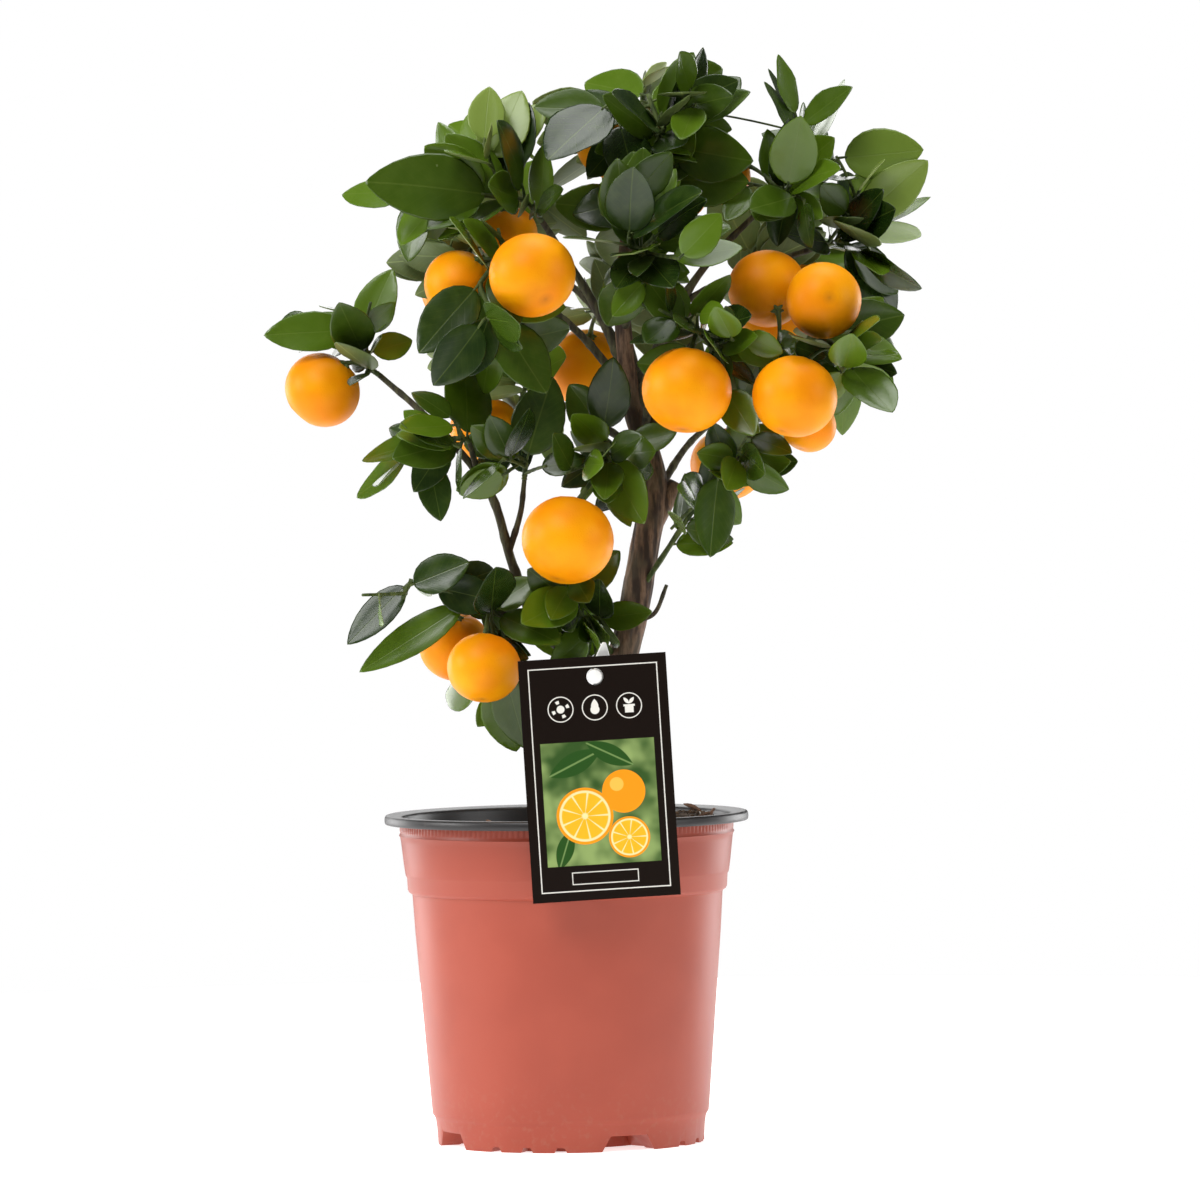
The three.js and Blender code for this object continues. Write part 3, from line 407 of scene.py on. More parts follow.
def lipPaint():  # dark satin plastic with some dust
    black, dusty = (0.014, 0.012, 0.012), (0.08, 0.062, 0.048)
    paint = Paint("blackPlastic", Roughness=0.42, Specular_IOR_Level=0.5)
    dust = paint.grain(5, 5).step(0.55, 0.8)
    paint.bump(paint.grain(0.8), 0.08, 0.15)
    return paint.colour(paint.mix(dust * 0.2, black, dusty))


def peatPaint():  # dark crumbs with drier patches
    dark, pale, dry = (0.018, 0.011, 0.006), (0.085, 0.052, 0.028), (0.13, 0.085, 0.05)
    paint = Paint("peat", Roughness=0.95)
    crumbs = paint.grain(2.6, 6)
    body = paint.mix(crumbs.step(0.4, 0.66), dark, pale)
    paint.bump(crumbs, 0.9, 1.4)
    return paint.colour(paint.mix(paint.grain(14).step(0.5, 0.75) * 0.4, body, dry))


def plainPaint(name, colour, rough, speck=None):  # one colour, or two in small clouds
    paint = Paint(name, Roughness=rough)
    return paint.colour(paint.mix(paint.grain(2.0, 3).step(0.4, 0.7), colour, speck or colour))


artSettings = {
    "width": 75.5, "height": 124,
    "board": (0.007, 0.0035, 0.002), "ink": (0.78, 0.76, 0.70),
    "borderInset": 4.7, "borderWidth": 0.55,
    "panel": [0, -12.5, 29.0, 31.5], "panelDark": (0.035, 0.085, 0.018), "panelLight": (0.26, 0.36, 0.12),
    "slices": [[-8.5, -19.0, 14.5], [13.5, -31.0, 10.5]], "wholeFruit": [12.0, -7.5, 11.0],
    "rind": (0.93, 0.30, 0.01), "pith": (0.93, 0.72, 0.34), "pulp": (0.95, 0.45, 0.02),
    "leafGreen": (0.022, 0.075, 0.012), "leafRib": (0.22, 0.34, 0.11),
    "leaves": [[-12.0, 8.0, 24, 15.0, 5.6], [6.0, 12.0, 152, 13.5, 5.0], [-19.5, -35.5, 70, 11.0, 4.4]],
    "badges": [[-17.5, 36.0], [0, 36.0], [17.5, 36.0]], "badgeRadius": 6.6, "badgeLine": 0.5,
    "sun": [2.0, 3.0, 4.6],  # radius of its disc, and of its rays from and to
    "drop": [0, -1.1, 2.3], "dropTip": [0, 0.5, 90, 3.9, 1.9],
    "bowl": [[0, -1.9, 2.2, 1.7], [0, 0.1, 2.9, 0.5]],
    "sprouts": [[-1.3, 2.5, 130, 2.1, 0.9], [1.3, 2.5, 50, 2.1, 0.9]],
    "foot": [0, -50.6, 17.0, 3.2], "footLine": 0.45, "soft": 0.15, "panelBlur": 18.18,
    "shine": [-3.4, 3.8, 0.32], "shineColour": (1.0, 0.62, 0.12),
}


class Art:  # soft-edged flat shapes in millimetres on the card's face
    def __init__(self, x, z):
        self.x = x
        self.z = z
        self.soft = artSettings["soft"]

    def disc(self, x, z, radius):  # 1 inside the circle
        distance = ((self.x - x) ** 2 + (self.z - z) ** 2).root()
        return 1 - distance.step(radius - self.soft, radius + self.soft)

    def box(self, x, z, halfWidth, halfHeight, line=None):  # 1 inside, or on a line of its inner edge
        edge = (abs(self.x - x) - halfWidth).most(abs(self.z - z) - halfHeight)
        whole = 1 - edge.step(-self.soft, self.soft)
        return whole - self.box(x, z, halfWidth - line, halfHeight - line) if line else whole

    def leaf(self, x, z, turn, halfLength, halfWidth):  # (long share)^2 + short share under 1
        c, s = math.cos(math.radians(turn)), math.sin(math.radians(turn))
        along = ((self.x - x) * c + (self.z - z) * s) / halfLength
        across = abs((self.z - z) * c - (self.x - x) * s) / halfWidth
        blade = 1 - (along * along + across).step(0.95, 1.03)
        return blade, 1 - across.step(0.03, 0.13)

    def slice(self, x, z, radius):  # rind, pith, and pulp in nine wedges
        right, up = self.x - x, self.z - z
        distance = (right * right + up * up).root()
        wedge = abs((up.angleTo(right) * 4.5).sine()).step(0.12, 0.26)
        within = 1 - distance.step(radius * 0.80, radius * 0.83)
        beyond = distance.step(radius * 0.08, radius * 0.14)
        return self.disc(x, z, radius), self.disc(x, z, radius * 0.9), within * beyond * wedge


# Signs in rings: a sun with four rays, a drop, and a bowl with two leaves.
def cardSigns(art):
    s = artSettings
    sun, drop, bowl = signs = [Art(art.x - x, art.z - z) for x, z in s["badges"]]
    radius, line = s["badgeRadius"], s["badgeLine"]
    discRadius, raysFrom, raysTo = s["sun"]
    spoke = (sun.z.angleTo(sun.x) * 4).sine().step(0.5, 0.7)
    marks = [sign.disc(0, 0, radius) - sign.disc(0, 0, radius - line) for sign in signs]
    marks += [sun.disc(0, 0, discRadius), spoke * (sun.disc(0, 0, raysTo) - sun.disc(0, 0, raysFrom))]
    marks += [drop.disc(*s["drop"]), drop.leaf(*s["dropTip"])[0]]
    marks += [bowl.box(*box) for box in s["bowl"]]
    marks += [bowl.leaf(*leaf)[0] for leaf in s["sprouts"]]
    return marks


# The panel's picture: a blurred ground, then leaves, a whole fruit and slices laid over each other.
def cardPicture(paint, art):
    s = artSettings
    picture = paint.mix(paint.grain(s["panelBlur"]).step(0.36, 0.66), s["panelDark"], s["panelLight"])
    for leaf in s["leaves"]:
        blade, rib = art.leaf(*leaf)
        picture = paint.mix(blade, picture, s["leafGreen"])
        picture = paint.mix(blade * rib * 0.7, picture, s["leafRib"])
    x, z, radius = s["wholeFruit"]
    picture = paint.mix(art.disc(x, z, radius), picture, s["rind"])
    shineX, shineZ, share = s["shine"]
    shine = art.disc(x + shineX, z + shineZ, radius * share)
    picture = paint.mix(shine * 0.6, picture, s["shineColour"])
    for place in s["slices"]:
        for shape, colour in zip(art.slice(*place), ("rind", "pith", "pulp")):
            picture = paint.mix(shape, picture, s[colour])
    return picture


def cardPaint():  # a bordered board with signs, the picture and an empty frame at the foot
    s = artSettings
    paint = Paint("cardPrint", Roughness=0.45, Specular_IOR_Level=0.09)
    u, v, _ = paint.axes(paint.wire("ShaderNodeTexCoord", output=2))
    art = Art((u - 0.5) * s["width"], (v - 0.5) * s["height"])
    halfWidth, halfHeight = (s[key] / 2 - s["borderInset"] for key in ("width", "height"))
    border = art.box(0, 0, halfWidth, halfHeight, s["borderWidth"])
    face = paint.mix(border, s["board"], s["ink"])
    face = paint.mix(art.box(*s["panel"]), face, cardPicture(paint, art))
    marks = art.box(*s["foot"], s["footLine"])
    for mark in cardSigns(art):
        marks = marks.most(mark)
    return paint.colour(paint.mix(marks, face, s["ink"]))


leafTop, leafUnder = (leafPaint(name, **look) for name, look in leafLooks.items())
peel = peelPaint()
bark = barkPaint("bark", (0.205, 0.120, 0.072), (0.034, 0.018, 0.010), (0.11, 0.085, 0.050), 3.6)
greenBark = barkPaint("greenBark", (0.080, 0.078, 0.034), (0.026, 0.021, 0.010), (0.085, 0.058, 0.032), 2.6)
twigGreen = twigPaint()
calyxGreen = plainPaint("calyxGreen", (0.075, 0.13, 0.025), 0.6, (0.14, 0.17, 0.04))
terracotta = potPaint()
blackPlastic = lipPaint()
peat = peatPaint()
perlite = plainPaint("perlite", (0.80, 0.78, 0.72), 0.9, (0.62, 0.58, 0.50))
crumbBrown = plainPaint("crumbBrown", (0.040, 0.024, 0.013), 0.95, (0.12, 0.072, 0.04))
chipWood = plainPaint("chipWood", (0.20, 0.105, 0.060), 0.8, (0.10, 0.050, 0.030))
cutWood = plainPaint("cutWood", (0.33, 0.25, 0.15), 0.8, (0.24, 0.17, 0.09))
cardPrint = cardPaint()
cardPlain = plainPaint("cardPlain", artSettings["board"], 0.4)
whitePlastic = plainPaint("whitePlastic", (0.86, 0.86, 0.83), 0.4)
petal = plainPaint("petal", (0.86, 0.83, 0.52), 0.5, (0.80, 0.80, 0.62))
print("materials made")


# Limbs, along the same lines as the solids'.

trunkSettings = {
    "path": [[4, 0, 160.2], [14, 2, 210], [32, 1, 258], [43, -1, 310], [48, 1, 344], [37, 4, 388],
             [33, 6, 438], [36, 8, 474]],
    "foot": 9.2, "fork": 7.2, "tip": 3.1, "forkAt": 0.6, "flareGrow": 0.42, "flareLength": 0.06,
    "sides": 80, "rings": 300, "relief": 0.55, "ridges": 11,
    "lobes": 5, "lobeDepth": 0.13, "lobeLength": 0.035,
}
boughShape = {"rings": 90, "sides": 22, "ridges": 5, "relief": 0.16, "thin": 0.84, "sink": 0.15,
              "knot": 0.11, "knotEvery": 19, "knotLength": 2.2}
stubShape = {"rings": 14, "sides": 26, "ridges": 7, "relief": 0.4, "end": 0.9}
boughSettings = {  # parent, share of the way up it, places on the way, tip, radius thick and thin
    "bough_left": ["trunk", 0.27, [[-10, -20, 266], [-25, -30, 300], [-38, -38, 342], [-72, -34, 382]],
                   [-93, -27, 401], 4, 1.9],
    "bough_left_side": ["bough_left", 0.66, [], [-47, -47, 366], 2.2, 1.6],
    "bough_inner": ["bough_left", 0.45, [[-21, -37, 330]], [-19, -38, 346], 2.4, 1.6],
    "bough_low": ["bough_left", 0.2, [[-22, -34, 275]], [-34, -42, 277], 3, 1.9],
    "bough_right": ["trunk", 0.62, [[53, -10, 392], [72, -26, 405]], [102, -46, 409], 4.2, 2],
    "bough_upper_right": ["trunk", 0.7, [[54, 4, 420], [76, 2, 455]], [103, -10, 482], 3.9, 1.9],
    "bough_far_right": ["bough_upper_right", 0.5, [[96, 8, 452]], [136, 6, 465], 2.7, 1.8],
    "bough_upper_left": ["trunk", 0.76, [[22, 8, 430], [6, 4, 458]], [-8, -18, 480], 3.6, 1.9],
    "bough_left_fruit": ["trunk", 0.73, [[14, -6, 418], [-8, -20, 438]], [-21, -36, 451], 3.2, 1.8],
    "bough_centre": ["trunk", 0.84, [[40, -14, 440]], [43, -38, 455], 2.9, 1.9],
    "bough_front_right": ["trunk", 0.66, [[50, -24, 396]], [70, -46, 416], 3, 1.9],
    "bough_back_top": ["trunk", 0.92, [[40, 24, 470]], [46, 42, 494], 2.8, 1.8],
    "bough_back_left": ["trunk", 0.8, [[14, 22, 440]], [-14, 40, 462], 3, 1.8],
    "bough_back_right": ["trunk", 0.74, [[62, 24, 426]], [92, 44, 450], 3.2, 1.8],
    "bough_back": ["trunk", 0.68, [[40, 30, 402]], [34, 60, 426], 3.2, 1.9],
    "bough_back_low": ["trunk", 0.56, [[66, 22, 362]], [84, 40, 378], 2.8, 1.8],
    "bough_back_side": ["trunk", 0.63, [[14, 20, 378]], [-14, 36, 392], 2.8, 1.8],
    "cut_stub": ["trunk", 0.5, [], [60, 3, 343], 5.2, 4.4],
    "bare_twig": ["trunk", 0.36, [[47, -8, 275]], [54, -13, 290], 1.8, 1.3],
}
limbSteps = 129  # places kept along each limb


# Centripetal Catmull-Rom line through the points, read at even steps of its own length.
def smoothLine(points, count):
    points = np.array(points, float)
    if len(points) == 2:
        return points[0] + (points[1] - points[0]) * np.linspace(0, 1, count)[:, None]
    padded = np.vstack([2 * points[0] - points[1], points, 2 * points[-1] - points[-2]])
    steps = np.sqrt(sizeOf(np.diff(padded, axis=0)))
    share = np.linspace(0, len(points) - 1, 1601)
    part = np.minimum(share.astype(int), len(points) - 2)
    t = (share - part)[:, None]
    p0, p1, p2, p3 = (padded[part + i] for i in range(4))
    d0, d1, d2 = (steps[part + i][:, None] for i in range(3))
    leave = ((p1 - p0) / d0 - (p2 - p0) / (d0 + d1) + (p2 - p1) / d1) * d1
    arrive = ((p2 - p1) / d1 - (p3 - p1) / (d1 + d2) + (p3 - p2) / d2) * d1
    curve = -3 * p1 + 3 * p2 - 2 * leave - arrive
    line = p1 + leave * t + curve * t**2 + (2 * p1 - 2 * p2 + leave + arrive) * t**3
    return evenSteps(line, count)


def readLine(line, marks, at):  # places between the line's own, which stand at the marks
    return np.stack([np.interp(at, marks, line[:, axis]) for axis in range(3)], 1)


def evenSteps(line, count):  # places at equal lengths along a line
    run = np.concatenate([[0], np.cumsum(sizeOf(np.diff(line, axis=0)))])
    return readLine(line, run, np.linspace(0, run[-1], count))


# Trunk radius: straight taper to the fork, then thinner by a 0.7 power, and flared at the foot.
def trunkRadius(share):
    s = trunkSettings
    low = s["foot"] + (s["fork"] - s["foot"]) * share / s["forkAt"]
    rest = np.clip((share - s["forkAt"]) / (1 - s["forkAt"]), 0, 1)
    high = s["fork"] + (s["tip"] - s["fork"]) * rest**0.7
    body = np.where(share < s["forkAt"], low, high)
    return body * (1 + s["flareGrow"] * np.exp(-share / s["flareLength"]))


def alongLimb(limb, share):  # place and heading at a share of a limb's length
    reach = 0.5 / limbSteps
    shares = np.array([share - reach, share, share + reach])
    before, at, after = readLine(limb["line"], np.linspace(0, 1, limbSteps), shares)
    return at, unit(after - before)


def makeLimbs():  # each bough starts on its parent's line
    share = np.linspace(0, 1, limbSteps)
    limbs = {"trunk": {"line": smoothLine(trunkSettings["path"], limbSteps), "radius": trunkRadius(share)}}
    for name, (parent, at, via, tip, thick, thin) in boughSettings.items():
        start, _ = alongLimb(limbs[parent], at)
        line = smoothLine([start, *via, tip], limbSteps)
        limbs[name] = {"line": line, "radius": thick + (thin - thick) * share}
    return limbs


limbs = makeLimbs()


# Bark relief: ridges are where a warped count of turns passes whole numbers, broken up along
# the limb, with lumps. turns is 0..1 round the limb and height is in millimetres.
def barkRelief(turns, height, ridges, seed):
    wideWarp = latticeNoise(turns * 6, height / 26, 6, seed)
    narrowWarp = latticeNoise(turns * 12, height / 9, 12, seed + 1)
    warp = wideWarp * 1.6 + narrowWarp * 0.6
    ridge = np.abs(np.sin(math.pi * (turns * ridges + warp)))
    broken = latticeNoise(turns * 18, height / 7, 18, seed + 2)
    lumps = latticeNoise(turns * 5, height / 17, 5, seed + 3) - 0.5
    grain = latticeNoise(turns * 40, height / 3.5, 40, seed + 4) - 0.5
    return ridge**0.6 * (0.55 + 0.45 * broken) - 0.6 + 0.9 * lumps + 0.35 * grain


def addTrunk():  # a tube with lobes at the foot and the bark's relief
    s = trunkSettings
    path = smoothLine(s["path"], s["rings"])[None]
    share = np.linspace(0, 1, s["rings"])[:, None]
    turns = np.arange(s["sides"])[None] / s["sides"]
    height = share * sizeOf(np.diff(path[0], axis=0)).sum()
    strength = s["relief"] * (0.45 + 0.55 * trunkRadius(share) / s["foot"])
    relief = barkRelief(turns, height, s["ridges"], 5) * strength
    swell = np.sin(fullTurn * turns * s["lobes"] + 0.7) * np.exp(-share / s["lobeLength"])
    lobes = 1 + s["lobeDepth"] * swell
    radii = trunkRadius(share) * lobes + relief
    corners, faceSets, _ = sweepTubes(path, radii[None])
    place(addPiece("trunkBark", corners, faceSets, [bark]), "bark", "trunk")


# All boughs but the stub: tubes with the relief and a slight swelling at even distances.
def addBoughs():
    s = boughShape
    names = [name for name in boughSettings if name != "cut_stub"]
    step, whole = np.linspace(0, limbSteps - 1, s["rings"]), np.arange(limbSteps)
    paths = np.stack([readLine(limbs[name]["line"], whole, step) for name in names])
    radii = np.stack([np.interp(step, whole, limbs[name]["radius"]) for name in names])
    turns = np.arange(s["sides"])[None, None] / s["sides"]
    lengths = np.cumsum(sizeOf(np.diff(paths, axis=1)), 1)
    lengths = np.concatenate([np.zeros((len(names), 1)), lengths], 1)
    height = lengths[..., None] + 37.0 * np.arange(len(names))[:, None, None]
    relief = barkRelief(turns, height, s["ridges"], 31) * s["relief"]
    fromKnot = height % s["knotEvery"] - s["knotEvery"] / 2
    knots = s["knot"] * np.exp(-(fromKnot / s["knotLength"]) ** 2)
    corners, faceSets, _ = sweepTubes(paths, radii[..., None] * (s["thin"] + knots) + relief - s["sink"])
    place(addPiece("boughBark", corners, faceSets, [greenBark]), "green_wood", *names)


def addStub():  # short cut bough with a pale end
    s = stubShape
    limb, sides = limbs["cut_stub"], s["sides"]
    step = np.linspace(0, limbSteps - 1, s["rings"]).astype(int)
    turns = np.arange(sides)[None] / sides
    relief = barkRelief(turns, step[:, None] * 0.2, s["ridges"], 77) * s["relief"]
    radii = limb["radius"][step][:, None] + relief
    radii[-1] *= s["end"]
    corners, faceSets, columns = sweepTubes(limb["line"][step][None], radii[None])
    paintOf = np.zeros(len(columns))
    paintOf[-sides:] = 1
    place(addPiece("stubBark", corners, faceSets, [bark, cutWood], paintOf), "green_wood", "cut_stub")


addTrunk()
addBoughs()
addStub()
print("limbs made")


# Foliage by the solids' own growth rule, with finer twigs and closer leaves.

fruitSettings = {  # centre and diameter, by the mass that bears them
    "far_left": [[-123, -22, 394, 39.6]],
    "left": [[-51, -38, 447, 37.5], [-13, -82, 451, 44.5]],
    "crown_top": [[29, -5, 519, 37.5]],
    "top_right": [[86, -8, 503, 31]],
    "right_fruit": [[108, -38, 443, 41], [136, -74, 436, 39], [120, -90, 387, 44], [128, -50, 372, 29],
                    [113, 6, 427, 37.5]],
    "centre_right": [[65, -85, 391, 46.5]],
    "inner_left": [[3, -66, 315, 48]],
    "bottom_left": [[-41, -62, 250, 38], [-56, -26, 260, 37.5]],
    "upper_left": [[-26, 2, 474, 31]],
    "back_top": [[62, 84, 498, 38]],
    "back_left": [[-52, 66, 446, 42]],
    "back_right": [[132, 76, 444, 40], [108, 92, 414, 36]],
    "back": [[14, 108, 404, 44]],
    "back_side": [[-40, 62, 372, 38]],
    "back_low": [[88, 70, 352, 40]],
}
leafLength = 44
massSettings = {  # where each grows from, its space, its stem's end and the leaf tips that show
    "crown_top": dict(
        on="trunk", centre=[50, -20, 528], size=62, hub=[60, -18, 502], seed=3, more=4, leaves=27,
        reach=[[46, -20, 565], [81, -35, 565], [25, -50, 543], [13, 12, 555], [100, -34, 545, 40],
               [96, 2, 556, 36], [64, -70, 520, 44], [-2, -30, 534, 40]]),
    "top_right": dict(
        on="bough_upper_right", centre=[121, -24, 501], size=53, hub=[112, -15, 490], seed=5, more=4,
        leaves=27, reach=[[154, 8, 551], [142, -62, 508], [124, -50, 530, 40], [116, -2, 560, 44],
                          [136, 22, 538, 38], [88, -48, 512, 38]]),
    "right": dict(
        on="bough_far_right", centre=[162, 0, 474], size=50, hub=[147, 4, 468], seed=11, more=3,
        leaves=19, reach=[[192, -5, 510, 48], [198, 20, 487, 42], [186, -24, 440], [190, 34, 466, 40],
                          [180, 12, 442, 38], [175, 38, 515]]),
    "right_fruit": dict(
        on="bough_right", centre=[134, -62, 410], size=58, hub=[117, -53, 413], seed=13, more=3,
        leaves=21, reach=[[178, -50, 430, 46], [176, -66, 408, 42], [168, -110, 380, 46, -0.7],
                          [174, -56, 384, 44], [179, -12, 408, 38], [118, -104, 420, 36],
                          [146, -28, 366, 38]]),
    "centre_right": dict(
        on="bough_front_right", centre=[80, -66, 402], size=56, hub=[77, -57, 419], seed=17, more=3,
        leaves=23, reach=[[74, -92, 444, 42], [60, -104, 428, 34], [94, -30, 376, 36],
                          [36, -84, 416, 36]]),
    "centre": dict(
        on="bough_centre", centre=[46, -66, 472], size=54, hub=[44, -50, 464], seed=19, more=4,
        leaves=19, reach=[[36, -104, 462, 46], [34, -86, 432, 40], [72, -92, 490], [56, -102, 446, 38],
                          [4, -96, 474, 48], [30, -88, 508]]),
    "upper_left": dict(
        on="bough_upper_left", centre=[-36, -22, 498], size=58, hub=[-16, -30, 490], seed=23, more=3,
        leaves=23, reach=[[-95, -66, 504, 70], [-56, -40, 526, 56], [-46, -6, 539, 40],
                          [-14, -32, 541, 40], [-113, -4, 498, 42], [-84, -14, 466, 42],
                          [-32, 22, 522], [1, -64, 515, 46]]),
    "left": dict(
        on="bough_left_fruit", centre=[-32, -58, 432], size=54, hub=[-29, -50, 459], seed=29, more=3,
        leaves=17, reach=[[-72, -78, 414, 50], [-8, -66, 390, 46], [-42, -34, 390, 42],
                          [-66, -44, 394], [4, -60, 436, 40]]),
    "far_left": dict(
        on="bough_left", centre=[-118, -30, 412], size=56, hub=[-99, -26, 405], seed=31, more=1,
        gaps=8, leaves=12, reach=[[-152, -38, 425, 48], [-87, -24, 457, 40], [-108, -52, 398, 22],
                          [-76, -8, 420, 28]]),
    "mid_left": dict(
        on="bough_left_side", centre=[-80, -50, 350], size=44, hub=[-52, -52, 368], seed=37, more=1,
        gaps=16, leaves=13, reach=[[-84, -74, 358, 46], [-104, -40, 362, 40], [-108, -20, 340, 40],
                          [-62, -54, 326, 32]]),
    "inner": dict(
        on="bough_inner", centre=[-24, -46, 354], size=42, hub=[-18, -40, 355], seed=41, more=1,
        leaves=11, reach=[[-44, -62, 374, 34], [-10, -74, 360, 38], [-30, -74, 338, 34]]),
    "inner_left": dict(
        on="trunk", at=0.57, centre=[20, -36, 364], size=46, hub=[21, -26, 369], seed=43, more=2,
        leaves=14, reach=[[30, -36, 408, 42], [4, 0, 398, 40], [24, -78, 340, 38], [40, -62, 368, 36],
                          [39, -60, 324, 40], [0, -20, 342, 36]]),
    "lower_centre": dict(
        on="trunk", at=0.29, centre=[10, -34, 276], size=44, hub=[5, -26, 281], seed=47, more=2,
        leaves=13, reach=[[44, -44, 276, 32], [-16, -54, 300, 32], [-8, -62, 268, 34],
                          [26, -64, 262, 34]]),
    "bottom_left": dict(
        on="bough_low", centre=[-64, -48, 262], size=56, hub=[-38, -45, 280], seed=53, more=1,
        gaps=9, leaves=14, reach=[[-112, -62, 264, 46, -0.7], [-103, -88, 250, 50], [-22, -38, 206, 42],
                          [-71, -34, 286, 36], [-38, -58, 330, 40], [-66, 0, 234, 34]]),
    "right_twig": dict(
        on="trunk", at=0.4, centre=[94, -46, 344], size=42, hub=[82, -43, 350], seed=59, more=1,
        leaves=12, reach=[[76, -56, 306, 42], [108, -56, 334, 42], [94, -24, 322, 36],
                          [118, -62, 352, 34]]),
    "back_top": dict(on="bough_back_top", centre=[40, 66, 512], size=62, hub=[46, 52, 500], seed=61,
                     more=8, leaves=20, reach=[]),
    "back_left": dict(on="bough_back_left", centre=[-38, 62, 466], size=60, hub=[-24, 46, 466], seed=67,
                      more=8, leaves=19, reach=[]),
    "back_right": dict(on="bough_back_right", centre=[114, 66, 460], size=60, hub=[100, 48, 454],
                       seed=71, more=8, leaves=18, reach=[]),
    "back": dict(on="bough_back", centre=[34, 92, 434], size=58, hub=[34, 68, 430], seed=73, more=7,
                 leaves=17, reach=[]),
    "back_low": dict(on="bough_back_low", centre=[92, 58, 388], size=50, hub=[87, 45, 382], seed=79,
                     more=6, leaves=14, reach=[]),
    "back_side": dict(on="bough_back_side", centre=[-32, 56, 396], size=54, hub=[-18, 40, 394], seed=83,
                      more=6, leaves=14, reach=[]),
}
growthRule = {
    "core": [36, 36, 380],
    "stemRadius": [2.3, 2.1], "shootRadius": [2.2, 1.9], "stalkRadius": [1.6, 1.6],
    "stemNodes": [0.7, 0.85, 1], "shootNodes": [0.35, 0.55, 0.75, 0.95], "twigPart": 34,
    "shootBend": 0.35, "lean": [0, 0.35, -0.35, 0.7, -0.7], "shortest": 4,
    "leafSpacing": 10, "leafTurn": math.radians(137.5), "leafOpen": math.radians(58),
    "leafWidth": 0.58, "drawnWidth": [0.46, 0.6], "leafArch": 0.07, "leafRetry": 1.1, "fillTries": 200,
    "tries": 12, "rolls": [0, 0.5, -0.5, 1], "frontPull": 0.75, "shownPull": 1.1,
    "endStep": 0.14, "endSink": 1,
    "rooms": {"root": 3, "leaf": 0.9, "twig": 1.2, "limb": 3.2, "fruit": 1.2, "space": 1.2},
    "closeRooms": {"root": 3, "leaf": 0.35, "twig": 0.4, "limb": 1.4, "fruit": 0.5},
    "moreTries": 50, "closeLeaf": [0.98, 0.3],  # shares of the leaf's length
    "gapTries": 42, "gapSpots": 10, "reachSlack": 0.25, "reachDepths": [0, 14, -14, 28, -28],
    "sprigs": 4, "sprigTries": 30, "sprigLength": [12, 20], "sprigRadius": [1.1, 0.8],
    "nearby": 60, "skyShare": 0.3, "closePull": 1.2, "flatWay": [1, 0.6, 1],  # closer leaves lie flatter
    "reachPlaces": 12, "rootPull": 0.5, "stretch": 1.12, "tipNear": 4, "gapReach": 0.97, "aheadPull": 0.35,
    "limbsNear": [2.2, 30], "limbStep": 4, "apart": 0.3, "twigRoom": 0.6, "rootFree": 4, "startFree": 5,
    "facing": {"outward": 0.5, "jitter": 0.9, "up": 0.4}, "sideOut": 0.25, "retryShrink": 0.04,
    "targetOut": 0.7, "targetTurn": 0.6, "shootShares": [0.2, 0.75], "sprigLeaves": [0.97, 0.6],
    "stalkRise": 0.6, "stalkSeat": 0.4, "stalkBend": 0.2, "fruitGap": 3,
    # drawn at random: the least, and the spread above it
    "sideOpen": [0.8, 0.4], "sideLength": [0.78, 0.3], "targetLength": [0.8, 0.3],
    "targetReach": [0.62, 0.25], "fillShares": [0.12, 0.86], "sprigShares": [0.25, 0.7],
    "fruitShown": [0.85, 0.25],  # shares of the radius kept clear before fruits in front and further in
    "bareTrunk": [36, 74, 4], "bareRadius": 8.5,  # places of the trunk from, to and step that show
}
skyGaps = [  # open places from the front: from x to x, and from z to z
    [10, 42, 552, 578], [116, 133, 553, 571], [132, 168, 520, 544], [143, 160, 505, 529],
    [195, 235, 374, 539], [183, 208, 469, 481], [190, 208, 436, 469], [179, 208, 413, 432],
    [174, 207, 322, 412], [150, 207, 323, 378], [124, 207, 271, 354], [93, 206, 272, 332],
    [54, 62, 257, 319], [61, 206, 251, 300], [-89, -64, 273, 293], [-73, -51, 191, 228],
    [-120, -64, 306, 340], [-120, -108, 347, 365], [-103, -87, 384, 396], [-20, -4, 386, 404],
    [-80, -70, 405, 437], [-139, -101, 439, 471], [-133, -81, 508, 543], [-80, -45, 539, 569],
    [-10, 42, 412, 423], [-2, 21, 387, 412], [13, 41, 370, 386], [-27, -11, 338, 359],
    [-69, -22, 279, 325], [19, 40, 256, 268], [-250, 16, 551, 620], [15, 44, 555, 620], [29, 42, 546, 554],
    [42, 250, 567, 620], [90, 102, 531, 543], [172, 209, 488, 498], [165, 208, 467, 479],
    [179, 208, 444, 455], [191, 209, 512, 539], [162, 210, 519, 565], [-117, -81, 492, 502],
    [-137, -114, 193, 316], [-116, -68, 192, 244], [-82, -65, 513, 538], [-144, -106, 353, 372],
    [-109, -104, 274, 290], [-99, -86, 262, 271], [-85, -75, 298, 305], [-69, -58, 192, 233],
    [-86, -78, 326, 352], [-250, -153, 300, 600],
]
